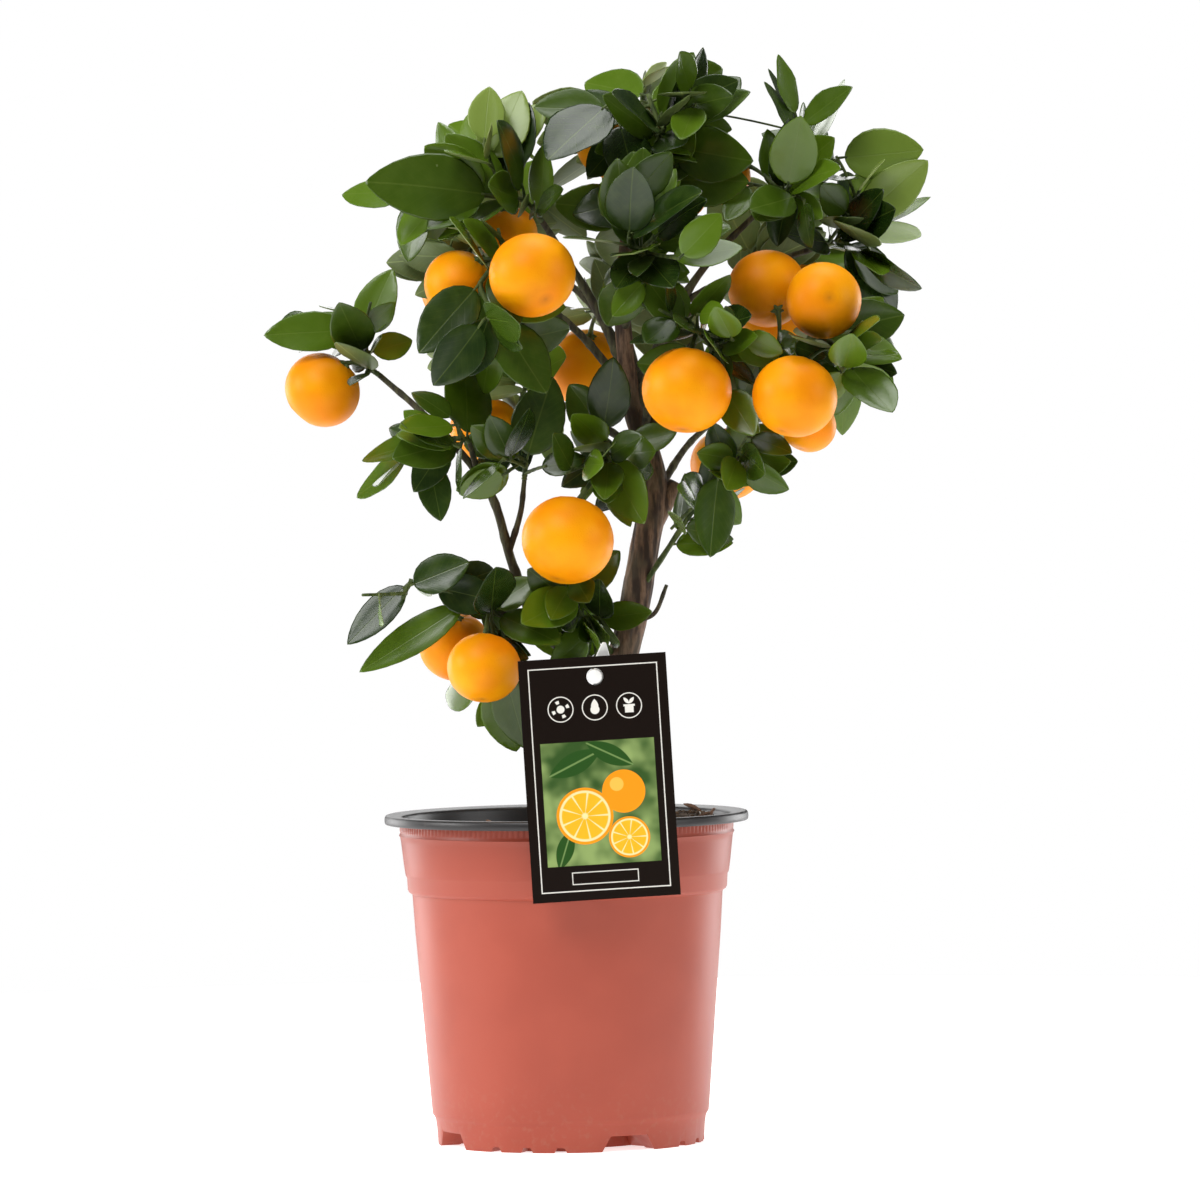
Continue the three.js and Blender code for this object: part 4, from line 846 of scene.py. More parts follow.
closeReach = [  # more leaf tips, each with its length and perhaps the x and z of its root
    [-104, -60, 249, 66, -40, 277], [-3, -74, 515, 54, 51, 515], [27, -92, 465, 46, 57, 497],
    [74, -60, 486, 44, 94, 506], [-6, -60, 377, 44, 21, 387], [103, -60, 337, 44, 105, 379],
    [-11, -40, 539, 40], [35, -62, 457, 46], [23, -16, 509, 42], [8, -6, 483, 44], [-82, -20, 470, 40],
    [-68, -20, 518, 44], [-52, -70, 483, 44], [-27, -80, 467, 40], [2, -40, 508, 42], [18, -50, 490, 44],
    [9, -46, 470, 42], [4, -30, 460, 40], [-80, -20, 460, 38], [-74, -30, 446, 38], [-45, -20, 537, 42],
    [13, -6, 548, 40], [93, -10, 559, 42], [43, -70, 496, 46], [28, 6, 534, 42], [110, -34, 526, 42],
    [92, -52, 507, 44], [77, -12, 527, 42], [70, -10, 559, 40], [51, -66, 514, 40], [85, -30, 558, 38],
    [43, -40, 510, 44], [97, -56, 469, 44], [74, -22, 477, 44], [91, -56, 442, 42],
    [68, -48, 442, 40], [42, -84, 468, 44], [22, -70, 448, 40], [53, -30, 459, 40], [73, -50, 463, 44],
    [1, -30, 439, 44], [26, -20, 423, 40], [16, 20, 439, 44], [0, 10, 413, 44], [27, 20, 460, 44],
    [-5, -46, 399, 44], [-46, -40, 414, 42], [-20, -30, 424, 42], [-66, -50, 416, 40], [8, -40, 423, 40],
    [7, -66, 345, 44], [-11, -36, 365, 42], [-31, -50, 367, 40], [-43, -40, 352, 36], [-8, -40, 361, 40],
    [37, -30, 314, 42], [15, -50, 351, 40], [41, -30, 350, 42], [21, -40, 376, 40], [55, -40, 350, 40],
    [34, -40, 320, 36], [29, -50, 288, 34], [42, -46, 272, 40], [-14, -44, 295, 36], [-32, -52, 284, 38],
    [-2, -60, 264, 38], [19, -58, 263, 38], [-22, -40, 263, 38], [-33, -36, 299, 36], [-25, -40, 283, 38],
    [-61, -34, 326, 38], [-32, -52, 302, 38], [-72, -46, 391, 40], [-49, -40, 305, 36], [-47, -40, 334, 34],
    [-107, -30, 369, 44], [67, -44, 344, 42], [49, -40, 365, 40], [82, -60, 365, 40], [73, -70, 422, 36],
    [103, -46, 344, 44], [105, -30, 499, 42], [126, -40, 494, 42], [120, -30, 473, 42], [142, -20, 520, 36],
    [149, -30, 481, 40], [115, -10, 458, 40], [123, -60, 349, 42], [93, -40, 386, 42], [108, -70, 365, 40],
    [-85, -20, 425, 40], [-119, -10, 431, 36], [-74, -40, 298, 34], [-48, -46, 305, 34], [-24, -40, 205, 44],
    [-43, -60, 233, 30], [-1, -30, 491, 40], [-81, -20, 451, 36], [-43, -20, 537, 36], [-60, -46, 330, 36],
    [-35, -50, 299, 40], [30, -36, 295, 36], [67, -44, 347, 34], [-9, -40, 278, 30], [116, -10, 565, 34],
    [191, -4, 514, 46], [152, -30, 549, 34], [40, 22, 545, 42], [58, 28, 538, 42], [22, 26, 530, 40],
    [76, 24, 536, 42], [100, 26, 530, 40], [8, 30, 515, 40], [60, 20, 520, 40], [30, 34, 512, 40],
    [90, 34, 512, 42], [120, 34, 500, 40], [126, 22, 520, 38], [-2, 70, 412, 44], [6, 74, 388, 44],
    [22, 66, 400, 44], [80, 42, 362, 42], [92, 44, 344, 42], [98, 40, 362, 40],
]
posedLeaves = [  # the solids' leaf by its tip: degrees from facing the front, share of width
    [154, 8, 551, 68, 0.5], [116, -2, 560, 72, 0.5], [-112, -62, 264, 20, 0.38], [-95, -66, 504, 8, 0.5],
    [-56, -40, 526, 10, 0.5], [198, 20, 487, 68, 0.5], [190, 34, 466, 45, 0.5], [186, -24, 440, 60, 0.5],
    [-152, -38, 425, 18, 0.46], [192, -5, 510, 8, 0.5], [175, 38, 515, 70, 0.5],
    [-104, -60, 249, 15, 0.27], [-104, -40, 362, 52, 0.5], [-108, -20, 340, 50, 0.5],
]
leftOut = [[-103, -88, 250]]  # tips of solids' leaves in whose place a closer one grows
# The solids' leaf: half its width by the share of its length, places tried for room, and its edges
leafOutline = {"share": np.array([0, 0.38, 0.74, 1]), "half": np.array([0, 0.5, 0.42, 0])}
probeShares = np.repeat([0.18, 0.4, 0.57, 0.74, 0.88, 1], 3)
probeSides = np.outer([0.2, 0.48, 0.46, 0.4, 0.18, 0], [-1, 0, 1]).ravel()
edgeShares = np.array([0.04, 0.38, 0.74, 1, 0.74, 0.38, 0.55])
edgeSides = np.array([0, 0.5, 0.42, 0, -0.42, -0.5, 0])
edgeEnds = [[0, 1, 2, 3, 4, 5, 0, 6], [1, 2, 3, 4, 5, 0, 6, 3]]

massNames = list(massSettings)
massPlaces = np.array([massSettings[name]["centre"] for name in massNames], float)
massSizes = np.array([massSettings[name]["size"] for name in massNames], float)
massSpans = sizeOf(massPlaces[:, None] - massPlaces[None])
fruitTable = np.array([fruit for group in fruitSettings.values() for fruit in group], float)
depths, diameters = fruitTable[:, 1], fruitTable[:, 3]
shownShares = np.select([depths < -20, depths < 10], growthRule["fruitShown"], 0)
bareTrunk = limbs["trunk"]["line"][slice(*growthRule["bareTrunk"])]
shownPlaces = np.concatenate([fruitTable[:, :3], bareTrunk])
barkRadii = np.full(len(bareTrunk), growthRule["bareRadius"])
shownRadii = np.concatenate([diameters / 2 * shownShares, barkRadii])
core = np.array(growthRule["core"], float)
upward = np.array([0.0, 0.0, 1.0])


def seededRandom(seed):  # each state is the last one times 1664525 plus 1013904223
    state = seed

    def following():
        nonlocal state
        state = (state * 1664525 + 1013904223) % 2**32
        return state / 2**32

    return following


def distanceToSegments(places, starts, ends):  # from each place to each segment's nearest point
    along = ends - starts
    offset = places[..., None, :] - starts
    share = np.clip(np.sum(offset * along, -1) / np.sum(along * along, -1), 0, 1)
    return sizeOf(offset - share[..., None] * along)


# Each vector turned about its axis: v cos a + (axis x v) sin a + axis (axis . v)(1 - cos a)
def turnAbout(vectors, axis, angle):
    angle = np.asarray(angle, float)[..., None]
    along = axis * np.sum(vectors * axis, -1, keepdims=True)
    return vectors * np.cos(angle) + np.cross(axis, vectors) * np.sin(angle) + along * (1 - np.cos(angle))


def leafFrames(root, along, facing, length, width):  # across = along x facing, up = across x along
    across = unit(np.cross(along, facing))
    up = unit(np.cross(across, along))
    return {"root": root, "along": along, "across": across, "up": up, "length": length, "width": width}


def someOf(leaf, chosen):  # the chosen leaves
    return {key: values[chosen] for key, values in leaf.items()}


# Places on leaves: root + share of the length, side share of the width, less an arch of share^2
def onLeaf(leaf, share, side):
    length = leaf["length"][:, None]
    drop = growthRule["leafArch"] * length * share**2
    return (leaf["root"][:, None] + leaf["along"][:, None] * (share * length)[..., None]
            + leaf["across"][:, None] * (side * leaf["width"][:, None])[..., None]
            - leaf["up"][:, None] * drop[..., None])


# Where places (k, e) lie in each leaf n: shares of its length and width, and height over it
def inLeaf(leaf, places):
    offset = places[:, None] - leaf["root"][None, :, None]
    length = leaf["length"][None, :, None]
    share = np.sum(offset * leaf["along"][None, :, None], -1) / length
    side = np.sum(offset * leaf["across"][None, :, None], -1) / leaf["width"][None, :, None]
    arch = growthRule["leafArch"] * length * np.maximum(share, 0) ** 2
    return share, side, np.sum(offset * leaf["up"][None, :, None], -1) + arch


# True where an edge passes through the blade, or nearly does.
def cutsLeaf(starts, ends, leaf, room):
    shareA, sideA, liftA = inLeaf(leaf, starts)
    shareB, sideB, liftB = inLeaf(leaf, ends)
    apart = (liftA * liftB > 0) & (np.minimum(np.abs(liftA), np.abs(liftB)) > room)
    step = liftA - liftB
    part = np.clip(liftA / np.where(step == 0, 1, step), 0, 1)
    share = shareA + (shareB - shareA) * part
    side = np.abs(sideA + (sideB - sideA) * part)
    half = np.interp(share, leafOutline["share"], leafOutline["half"])
    return ~apart & (share > 0.02) & (share < 1.02) & (side < half + 0.02)


# A twig bends from its heading to its end: a curve of two parts, read again as a few straight ones.
def makeTwig(start, heading, end, bend, radius):
    length = float(sizeOf(end - start))
    middle = ((start + heading * bend * length) + (start + end) / 2) / 2
    twig = {"ends": (start, middle, end), "radius": radius, "length": length, "parent": None, "used": False}
    parts = min(max(int(length / growthRule["twigPart"] + 0.5), 1), 3)
    twig["places"] = curveOf(twig, np.linspace(0, 1, parts + 1))
    twig["line"] = readLine(twig["places"], np.arange(parts + 1), np.linspace(0, parts, 7))
    return twig


def curveOf(twig, share):  # (1-t)^2 start + 2t(1-t) middle + t^2 end
    start, middle, end = twig["ends"]
    t = np.asarray(share, float)[..., None]
    return (1 - t) ** 2 * start + 2 * t * (1 - t) * middle + t**2 * end


def onTwig(twig, share):  # place and heading on a twig's straight parts
    places = twig["places"]
    parts = len(places) - 1
    part = min(int(share * parts), parts - 1)
    step = places[part + 1] - places[part]
    return places[part] + step * (share * parts - part), unit(step)


def markUsed(twig):  # the twig and all that bear it are drawn
    while twig is not None:
        twig["used"] = True
        twig = twig["parent"]


class Growth:  # one mass: what it must keep clear of, and what has grown in it so far
    def __init__(self, name):
        self.name = name
        self.mass = massSettings[name]
        self.index = massNames.index(name)
        self.centre = np.array(self.mass["centre"], float)
        self.random = seededRandom(self.mass["seed"])
        self.rooms = growthRule["rooms"]
        self.sky = []
        self.twigs = []
        self.ends = []
        self.hanging = []
        self.leaves = None
        self.bearers = []
        self.shown = []
        self.close = False
        self.free = True
        self.wide = growthRule["leafWidth"]
        self.gatherLimbs()
        self.addStem()

    def gatherLimbs(self):  # the parts of the limbs that come near
        rule = growthRule
        share, more = rule["limbsNear"]
        starts, ends, radii = [], [], []
        for limb in limbs.values():
            line = limb["line"][::rule["limbStep"]]
            near = sizeOf(line[:-1] - self.centre) < self.mass["size"] * share + more
            starts.append(line[:-1][near])
            ends.append(line[1:][near])
            radii.append(limb["radius"][::rule["limbStep"]][:-1][near])
        self.limbStarts = np.concatenate(starts)
        self.limbEnds = np.concatenate(ends)
        self.limbRadii = np.concatenate(radii)

    def addStem(self):  # from its limb's tip, or from the bark at a share of the limb's length
        limb = limbs[self.mass["on"]]
        hub = np.array(self.mass["hub"], float)
        place, heading = alongLimb(limb, self.mass.get("at", 1))
        clear = growthRule["apart"]
        if "at" in self.mass:
            heading = unit(hub - place)
            clear += np.interp(self.mass["at"], np.linspace(0, 1, limbSteps), limb["radius"])
        stem = makeTwig(place + heading * clear, heading, hub, 0.5, growthRule["stemRadius"])
        stem["nodes"] = growthRule["stemNodes"]
        stem["used"] = True
        self.start = stem["ends"][0]
        self.twigs.append(stem)

    def inside(self, places, room):  # nearer to the own centre than to any other, weighed by size
        if self.close:
            return np.ones(places.shape[:-1], bool)
        power = np.sum((places[..., None, :] - massPlaces) ** 2, -1) - massSizes**2
        spare = power - power[..., self.index, None] - 2 * room * massSpans[self.index]
        spare[..., self.index] = 1
        return np.all(spare > 0, axis=-1)

    def offFruit(self, places, room):  # further than the room from every fruit
        away = sizeOf(places[..., None, :] - fruitTable[:, :3])
        return np.all(away > fruitTable[:, 3] / 2 + room, axis=-1)

    def offLimbs(self, places, room):  # further than the room from the limbs near by
        away = distanceToSegments(places, self.limbStarts, self.limbEnds)
        return np.all(away >= room + self.limbRadii, axis=-1)

    def offShown(self, places):  # False where a place lies before a fruit or bark that shows in front
        across = places[..., None, 0] - shownPlaces[:, 0]
        up = places[..., None, 2] - shownPlaces[:, 2]
        before = places[..., None, 1] < shownPlaces[:, 1]
        return ~(before & (np.hypot(across, up) < shownRadii)).any(-1)

    def offSky(self, places):  # outside every box where the sky shows
        clear = np.ones(places.shape[:-1], bool)
        for left, right, low, high in self.sky:
            x, z = places[..., 0], places[..., 2]
            clear &= (x < left) | (x > right) | (z < low) | (z > high)
        return clear

    def offLeaves(self, leaf):  # no edge of one through the blade of another, and no shared root
        if self.leaves is None:
            return np.ones(len(leaf["length"]), bool)
        others = self.leaves
        if self.close:
            others = {key: np.concatenate([others[key], self.otherLeaves[key]]) for key in others}
        corners, otherCorners = onLeaf(leaf, edgeShares, edgeSides), onLeaf(others, edgeShares, edgeSides)
        apart = sizeOf(leaf["root"][:, None] - others["root"][None])
        room = self.rooms["leaf"]
        one = cutsLeaf(corners[:, edgeEnds[0]], corners[:, edgeEnds[1]], others, room).any(-1)
        two = cutsLeaf(otherCorners[:, edgeEnds[0]], otherCorners[:, edgeEnds[1]], leaf, room).any(-1)
        near = apart <= leaf["length"][:, None] + others["length"][None]
        return ~((near & (one | two.T)) | (apart < self.rooms["root"])).any(1)

    def offTwigs(self, leaf):  # no twig through the blade, but beside the leaf's own root
        lines = np.stack([twig["line"] for twig in self.twigs])
        if self.close:
            lines = np.concatenate([lines, self.otherLines])
        cuts = cutsLeaf(lines[:, :-1], lines[:, 1:], leaf, self.rooms["twig"]).transpose(1, 0, 2)
        starts, ends = lines[:, :-1].reshape(-1, 3), lines[:, 1:].reshape(-1, 3)
        away = distanceToSegments(leaf["root"], starts, ends)
        return ~(cuts.reshape(len(away), -1) & (away > growthRule["rootFree"])).any(1)

    def fitting(self, leaf, limit):  # numbers of the tries that fit
        places = onLeaf(leaf, probeShares, probeSides)
        keep = np.flatnonzero(sizeOf(places[:, -1] - self.centre) <= limit)
        rooms = self.rooms
        tests = [
            lambda some: self.inside(places[some], rooms.get("space")).all(1),
            lambda some: self.offSky(places[some]).all(1) | (limit == np.inf),
            lambda some: (self.offShown(places[some]) | self.free).all(1),
            lambda some: self.offFruit(places[some], rooms["fruit"]).all(1),
            lambda some: self.offLimbs(places[some], rooms["limb"]).all(1),
            lambda some: self.offLeaves(someOf(leaf, some)),
            lambda some: self.offTwigs(someOf(leaf, some)),
        ]
        for test in tests:
            if len(keep):
                keep = keep[test(keep)]
        return keep

    def twigFits(self, twig):  # in its own space, and clear of fruit and limbs but at the stem's start
        room = twig["radius"][0] + growthRule["twigRoom"]
        places = np.stack([onTwig(twig, share)[0] for share in (0.25, 0.45, 0.65, 0.85, 1)])
        beside = sizeOf(places - self.start) < growthRule["startFree"]
        return (self.inside(places, room).all() and self.offFruit(places, room).all()
                and (beside | self.offLimbs(places, room)).all())

    def missesLeaves(self, twig):  # asked of the thin shoots alone
        if not self.close:
            return True
        line = curveOf(twig, np.linspace(0.15, 1, 4))[None]
        return not cutsLeaf(line[:, :-1], line[:, 1:], self.leaves, self.rooms["twig"]).any()

    def springFrom(self, target):  # nearest place on a twig, and best if the twig heads that way
        best = None
        pull = growthRule["aheadPull"]
        for twig in self.twigs:
            for share in twig.get("nodes", []):
                place, ahead = onTwig(twig, share)
                towards = target - place
                distance = sizeOf(towards) * (1 + pull - pull * np.dot(ahead, unit(towards)))
                if best is None or distance < best[0]:
                    best = (distance, place, ahead, twig)
        return best[1:]

    # A shoot to a leaf's length before the tip, tried with several leans; else the leaf grows on its parent
    def growShoot(self, tip, length, shown, firstLean, radius):
        place, ahead, parent = self.springFrom(tip)
        straight = unit(tip - place)
        reach = sizeOf(tip - place) - length
        leans = [firstLean, *growthRule["lean"]]
        tries = 2 * len(leans) if reach > growthRule["shortest"] else 0
        for attempt in range(tries):
            bend = growthRule["shootBend"] if attempt < len(leans) else 0
            way = unit(straight + upward * leans[attempt % len(leans)])
            twig = makeTwig(place, ahead, tip - way * length, bend, radius)
            if self.twigFits(twig) and self.missesLeaves(twig):
                twig.update(nodes=growthRule["shootNodes"], parent=parent)
                self.twigs.append(twig)
                self.ends.append((tip, length, shown, twig))
                return
        if shown or reach < growthRule["shortest"]:
            self.ends.append((tip, length, shown, parent))

    def draw(self, key):  # at random from a rule's least, with its spread above it
        least, spread = growthRule[key]
        return least + spread * self.random()

    def facingAt(self, place, pull):  # outward, with jitter, and pulled to the front or the back
        share = growthRule["facing"]
        outward = unit(place - core)
        jitter = np.array([self.random() - 0.5, self.random() - 0.5, self.random() - 0.5])
        front = -pull if place[1] < core[1] else pull
        return outward * share["outward"] + jitter * share["jitter"] + np.array([0, front, share["up"]])

    def keepLeaf(self, leaf, twig, share, shown):  # adds a leaf and notes what bears it
        self.shown.append(shown)
        if self.leaves is not None:
            leaf = {key: np.concatenate([self.leaves[key], leaf[key]]) for key in leaf}
        self.leaves = leaf
        self.bearers.append((twig, share))
        markUsed(twig)

    # The first of several tries that fits, as (roots, ways, lengths), each rolled a little further
    def addLeaf(self, twig, shares, pull, limit, roots, ways, lengths):
        facing = self.facingAt(roots[0] + ways[0] * lengths[0] / 2, pull)
        rolls = np.resize(growthRule["rolls"], len(lengths))
        leaf = leafFrames(roots, ways, turnAbout(facing, ways, rolls), lengths, lengths * self.wide)
        keep = self.fitting(leaf, limit)
        if len(keep):
            self.keepLeaf(someOf(leaf, keep[:1]), twig, shares[keep[0]], limit == np.inf)
        return len(keep) > 0

    def addEndLeaf(self, tip, length, shown, twig):  # from the twig's end, or a few steps back along it
        rule = growthRule
        back = rule["endStep"] * (np.arange(rule["tries"]) // len(rule["rolls"]))
        shares = 1 - rule["endSink"] / twig["length"] - back
        roots = np.stack([onTwig(twig, share)[0] for share in shares])
        ways = tip - roots
        lengths = np.minimum(sizeOf(ways), length * rule["stretch"])
        pull, limit = (rule["shownPull"], np.inf) if shown else (rule["frontPull"], self.mass["size"])
        self.addLeaf(twig, shares, pull, limit, roots, unit(ways), lengths)

    # Beside the twig: ahead cos(away) + side sin(away) + a little outward, in tries turned round the twig
    def addSideLeaf(self, twig, share, turn, small=1.0):
        rule = growthRule
        root, ahead = onTwig(twig, share)
        across = unit(np.cross(upward, ahead) + 1e-9)
        away = rule["leafOpen"] * self.draw("sideOpen")
        length = leafLength * self.draw("sideLength") * small
        tries = np.arange(rule["tries"])
        ahead = np.tile(ahead, (len(tries), 1))
        ways = turnAbout(across, ahead, turn + tries * rule["leafRetry"]) * math.sin(away)
        ways = ways + ahead * math.cos(away) + unit(root - core) * rule["sideOut"]
        ways = unit(ways * rule["flatWay"] if self.close else ways)
        roots = np.tile(root, (len(tries), 1))
        shares = np.full(len(tries), share)
        lengths = length * (1 - rule["retryShrink"] * tries)
        pull = rule["closePull"] if self.close else rule["frontPull"]
        return self.addLeaf(twig, shares, pull, self.mass["size"], roots, ways, lengths)

    # Drawn twigs, by how near their places lie to a leaf's length away, and to the wanted x and z
    def placesFor(self, tip, length, wanted=()):
        shares = np.linspace(0.12, 1, growthRule["reachPlaces"])
        found = []
        for twig in self.twigs:
            if twig["used"]:
                places = curveOf(twig, shares)
                off = np.abs(sizeOf(tip - places) - length)
                if wanted:
                    off = off + growthRule["rootPull"] * sizeOf(places[:, [0, 2]] - np.array(wanted))
                best = np.argsort(off)[:3]
                found.append((off[best[0]], len(found), twig, shares[best]))
        return sorted(found)[:4]

    def addReachLeaf(self, tip, length, shown, wanted=()):  # to a tip, from the twig that suits it best
        rule = growthRule
        pull, limit = (rule["shownPull"], np.inf) if shown else (rule["closePull"], self.mass["size"])
        self.free = bool(wanted)
        for off, _, twig, best in self.placesFor(tip, length, wanted):
            if off > length * rule["reachSlack"]:
                return False
            shares = np.repeat(best, len(rule["rolls"]))
            roots = curveOf(twig, shares)
            lengths = np.minimum(sizeOf(tip - roots), length * rule["stretch"])
            if self.addLeaf(twig, shares, pull, limit, roots, unit(tip - roots), lengths):
                return True
        return False

    def addReachShoot(self, tip, length, shown):  # a thin shoot with a leaf on its end
        done = len(self.ends)
        self.growShoot(tip, length, shown, 0, growthRule["sprigRadius"])
        for end in self.ends[done:]:
            self.addEndLeaf(*end)

    def fillGaps(self):  # leaves to the places of the mass's ball that lie furthest from other leaves
        rule = growthRule
        for _ in range(self.mass.get("gaps", rule["gapTries"])):
            numbers = np.array([self.random() for _ in range(3 * rule["gapSpots"])]).reshape(-1, 3)
            height = numbers[:, 0] * 2 - 1
            ring, turn = np.sqrt(1 - height**2), numbers[:, 1] * fullTurn
            way = np.stack([ring * np.cos(turn), ring * np.sin(turn), height], 1)
            spots = self.centre + way * (self.mass["size"] * rule["gapReach"] * numbers[:, 2:] ** 0.4)
            spots = spots[self.offSky(spots) & self.offFruit(spots, rule["fruitGap"])]
            if not len(spots):
                continue
            middles = np.concatenate([
                leaf["root"] + leaf["along"] * leaf["length"][:, None] * 0.6
                for leaf in (self.leaves, self.otherLeaves)
            ])
            tip = spots[np.argmax(sizeOf(spots[:, None] - middles).min(1))]
            length = leafLength * self.draw("closeLeaf")
            if not self.addReachLeaf(tip, length, False):
                self.addReachShoot(tip, length, False)

    def moreTargets(self):  # spread over the mass's space, outwards first
        rule = growthRule
        outward = unit(self.centre - core) * rule["targetOut"]
        targets = []
        for i in range(self.mass["more"]):
            height = 1 - 2 * ((i + 0.5) / self.mass["more"])
            turn = i * rule["leafTurn"] + self.random() * rule["targetTurn"]
            ring = math.sqrt(1 - height * height)
            way = unit(np.array([ring * math.cos(turn), ring * math.sin(turn), height]) + outward)
            targets.append(self.centre + way * self.mass["size"] * self.draw("targetReach"))
        return targets

    def hangFruit(self):  # on a short stalk that turns up from the fruit
        rule = growthRule
        for x, y, z, diameter in fruitSettings.get(self.name, []):
            place = np.array([x, y, z], float)
            root, ahead, bearer = self.springFrom(place + upward * diameter / 2)
            up = unit(unit(root - place) + upward * rule["stalkRise"])
            seat = place + up * diameter * rule["stalkSeat"]
            stalk = makeTwig(root, ahead, seat, rule["stalkBend"], rule["stalkRadius"])
            self.hanging.append({"place": place, "up": up, "size": diameter / 2, "stalk": stalk})
            markUsed(bearer)

    # The solids' own growth: shoots to the shown tips and to targets, fruit, end leaves, side leaves
    def grow(self):
        rule = growthRule
        for x, y, z, *rest in self.mass["reach"]:
            length = rest[0] if rest else leafLength
            lean = rest[1] if len(rest) > 1 else 0
            self.growShoot(np.array([x, y, z], float), length, True, lean, rule["shootRadius"])
        for target in self.moreTargets():
            length = leafLength * self.draw("targetLength")
            self.growShoot(target, length, False, 0, rule["shootRadius"])
        self.hangFruit()
        stem, *shoots = self.twigs
        self.twigs += [fruit["stalk"] for fruit in self.hanging]
        for end in self.ends:
            self.addEndLeaf(*end)
        least, spread = rule["shootShares"]
        for shoot in shoots:
            count = int(shoot["length"] / rule["leafSpacing"]) + 1
            firstTurn = self.random() * fullTurn
            for i in range(count):
                share = least + spread * ((i + 0.5) / count)
                self.addSideLeaf(shoot, share, firstTurn + i * rule["leafTurn"])
        self.fill([stem, *shoots], self.mass["leaves"], rule["fillTries"], 1.0, 0.0)
        self.bearing = [stem, *[shoot for shoot in shoots if shoot["used"]]]
        self.openSky()

    def openSky(self):  # leaves that only fill up are left out where the sky shows
        self.sky = skyGaps
        places = onLeaf(self.leaves, probeShares, probeSides)
        astray = ~self.offSky(places) | ~self.offShown(places)
        fits = (astray.mean(1) < growthRule["skyShare"]) | np.array(self.shown)
        for tip in leftOut:
            fits[self.tipsNear(tip)] = False
        keep = np.flatnonzero(fits)
        self.leaves = someOf(self.leaves, keep)
        self.bearers = [self.bearers[i] for i in keep]
        for i in range(len(self.bearers)):  # from here on each leaf has the width that is drawn
            self.leaves["width"][i] = self.leaves["length"][i] * self.drawnWidth()
        self.poseLeaves()

    def tipsNear(self, tip):  # numbers of the leaves that end at a tip
        tips = self.leaves["root"] + self.leaves["along"] * self.leaves["length"][:, None]
        return np.flatnonzero(sizeOf(tips - np.array(tip)) < growthRule["tipNear"])

    def poseLeaves(self):  # a few leaves are turned about their own length
        for *tip, turn, width in posedLeaves:
            for i in self.tipsNear(tip):
                along = self.leaves["along"][i]
                across = unit(np.cross(along, [0, -1, 0]))
                self.leaves["across"][i] = turnAbout(across, along, math.radians(turn))
                self.leaves["up"][i] = np.cross(self.leaves["across"][i], along)
                self.leaves["width"][i] = self.leaves["length"][i] * width

    def drawnWidth(self):  # share of the length
        low, high = growthRule["drawnWidth"]
        return low + (high - low) * self.random()

    def fill(self, twigs, most, tries, small, spread):  # side leaves at random, up to a number
        for _ in range(tries):
            if len(self.bearers) >= most:
                return
            twig = twigs[int(self.random() * len(twigs))]
            share, turn = self.draw("fillShares"), self.random() * fullTurn
            size = small + spread * self.random() if spread else small
            self.addSideLeaf(twig, share, turn, size)

    def meetOthers(self):  # leaves and twigs of the other masses that come near
        reach = self.mass["size"] + growthRule["nearby"]
        near = [growth for growth in growths if growth is not self]
        leaf = {key: np.concatenate([growth.leaves[key] for growth in near]) for key in self.leaves}
        self.otherLeaves = someOf(leaf, sizeOf(leaf["root"] - self.centre) < reach)
        lines = np.stack([twig["line"] for growth in near for twig in growth.twigs])
        self.otherLines = lines[sizeOf(lines[:, 3] - self.centre) < reach]

    def startCloser(self):  # from here on leaves stand closer, and cross the masses' borders
        self.close = True
        self.free = False
        self.wide = growthRule["drawnWidth"][1]
        self.rooms = growthRule["closeRooms"]

    # What the solids leave out: leaves closer to each other and small sprigs, within the same reach.
    def growCloser(self):
        rule = growthRule
        self.meetOthers()
        self.fillGaps()
        made = 0
        for _ in range(rule["sprigTries"]):
            if made == rule["sprigs"]:
                break
            made += self.addSprig(self.bearing[int(self.random() * len(self.bearing))])
        bearing = [twig for twig in self.twigs if twig["used"]]
        self.fill(bearing, len(self.bearers) + rule["moreTries"], rule["moreTries"], *rule["closeLeaf"])
        self.drawn = [twig for twig in self.twigs if twig["used"]]

    def addSprig(self, parent):  # a short side shoot with one or two leaves, or nothing
        rule = growthRule
        root, ahead = onTwig(parent, self.draw("sprigShares"))
        across = unit(np.cross(upward, ahead) + 1e-9)
        side = turnAbout(across, ahead, self.random() * fullTurn)
        heading = unit(side + ahead * 0.6 + unit(root - core) * 0.5)
        end = root + heading * self.draw("sprigLength")
        sprig = makeTwig(root, unit(side + ahead), end, 0.2, rule["sprigRadius"])
        if not (self.twigFits(sprig) and self.offSky(end) and self.missesLeaves(sprig)):
            return 0
        sprig.update(nodes=[], parent=parent)
        self.twigs.append(sprig)
        turn = self.random() * fullTurn
        kept = sum(self.addSideLeaf(sprig, place, turn + i * rule["leafTurn"])
                   for i, place in enumerate(rule["sprigLeaves"]))
        if not kept:
            self.twigs.pop()
        return 1 if kept else 0


# Each tip by the mass whose twigs suit it best, a little nearer or further if need be
def reachTip(tip, length, wanted):
    ranked = sorted(growths, key=lambda growth: growth.placesFor(tip, length, wanted)[0][0])[:3]
    for growth in ranked:
        growth.meetOthers()
    for depth in growthRule["reachDepths"]:
        for growth in ranked:
            if growth.addReachLeaf(tip + np.array([0, depth, 0]), length, True, wanted):
                return
    ranked[0].addReachShoot(tip, length, True)


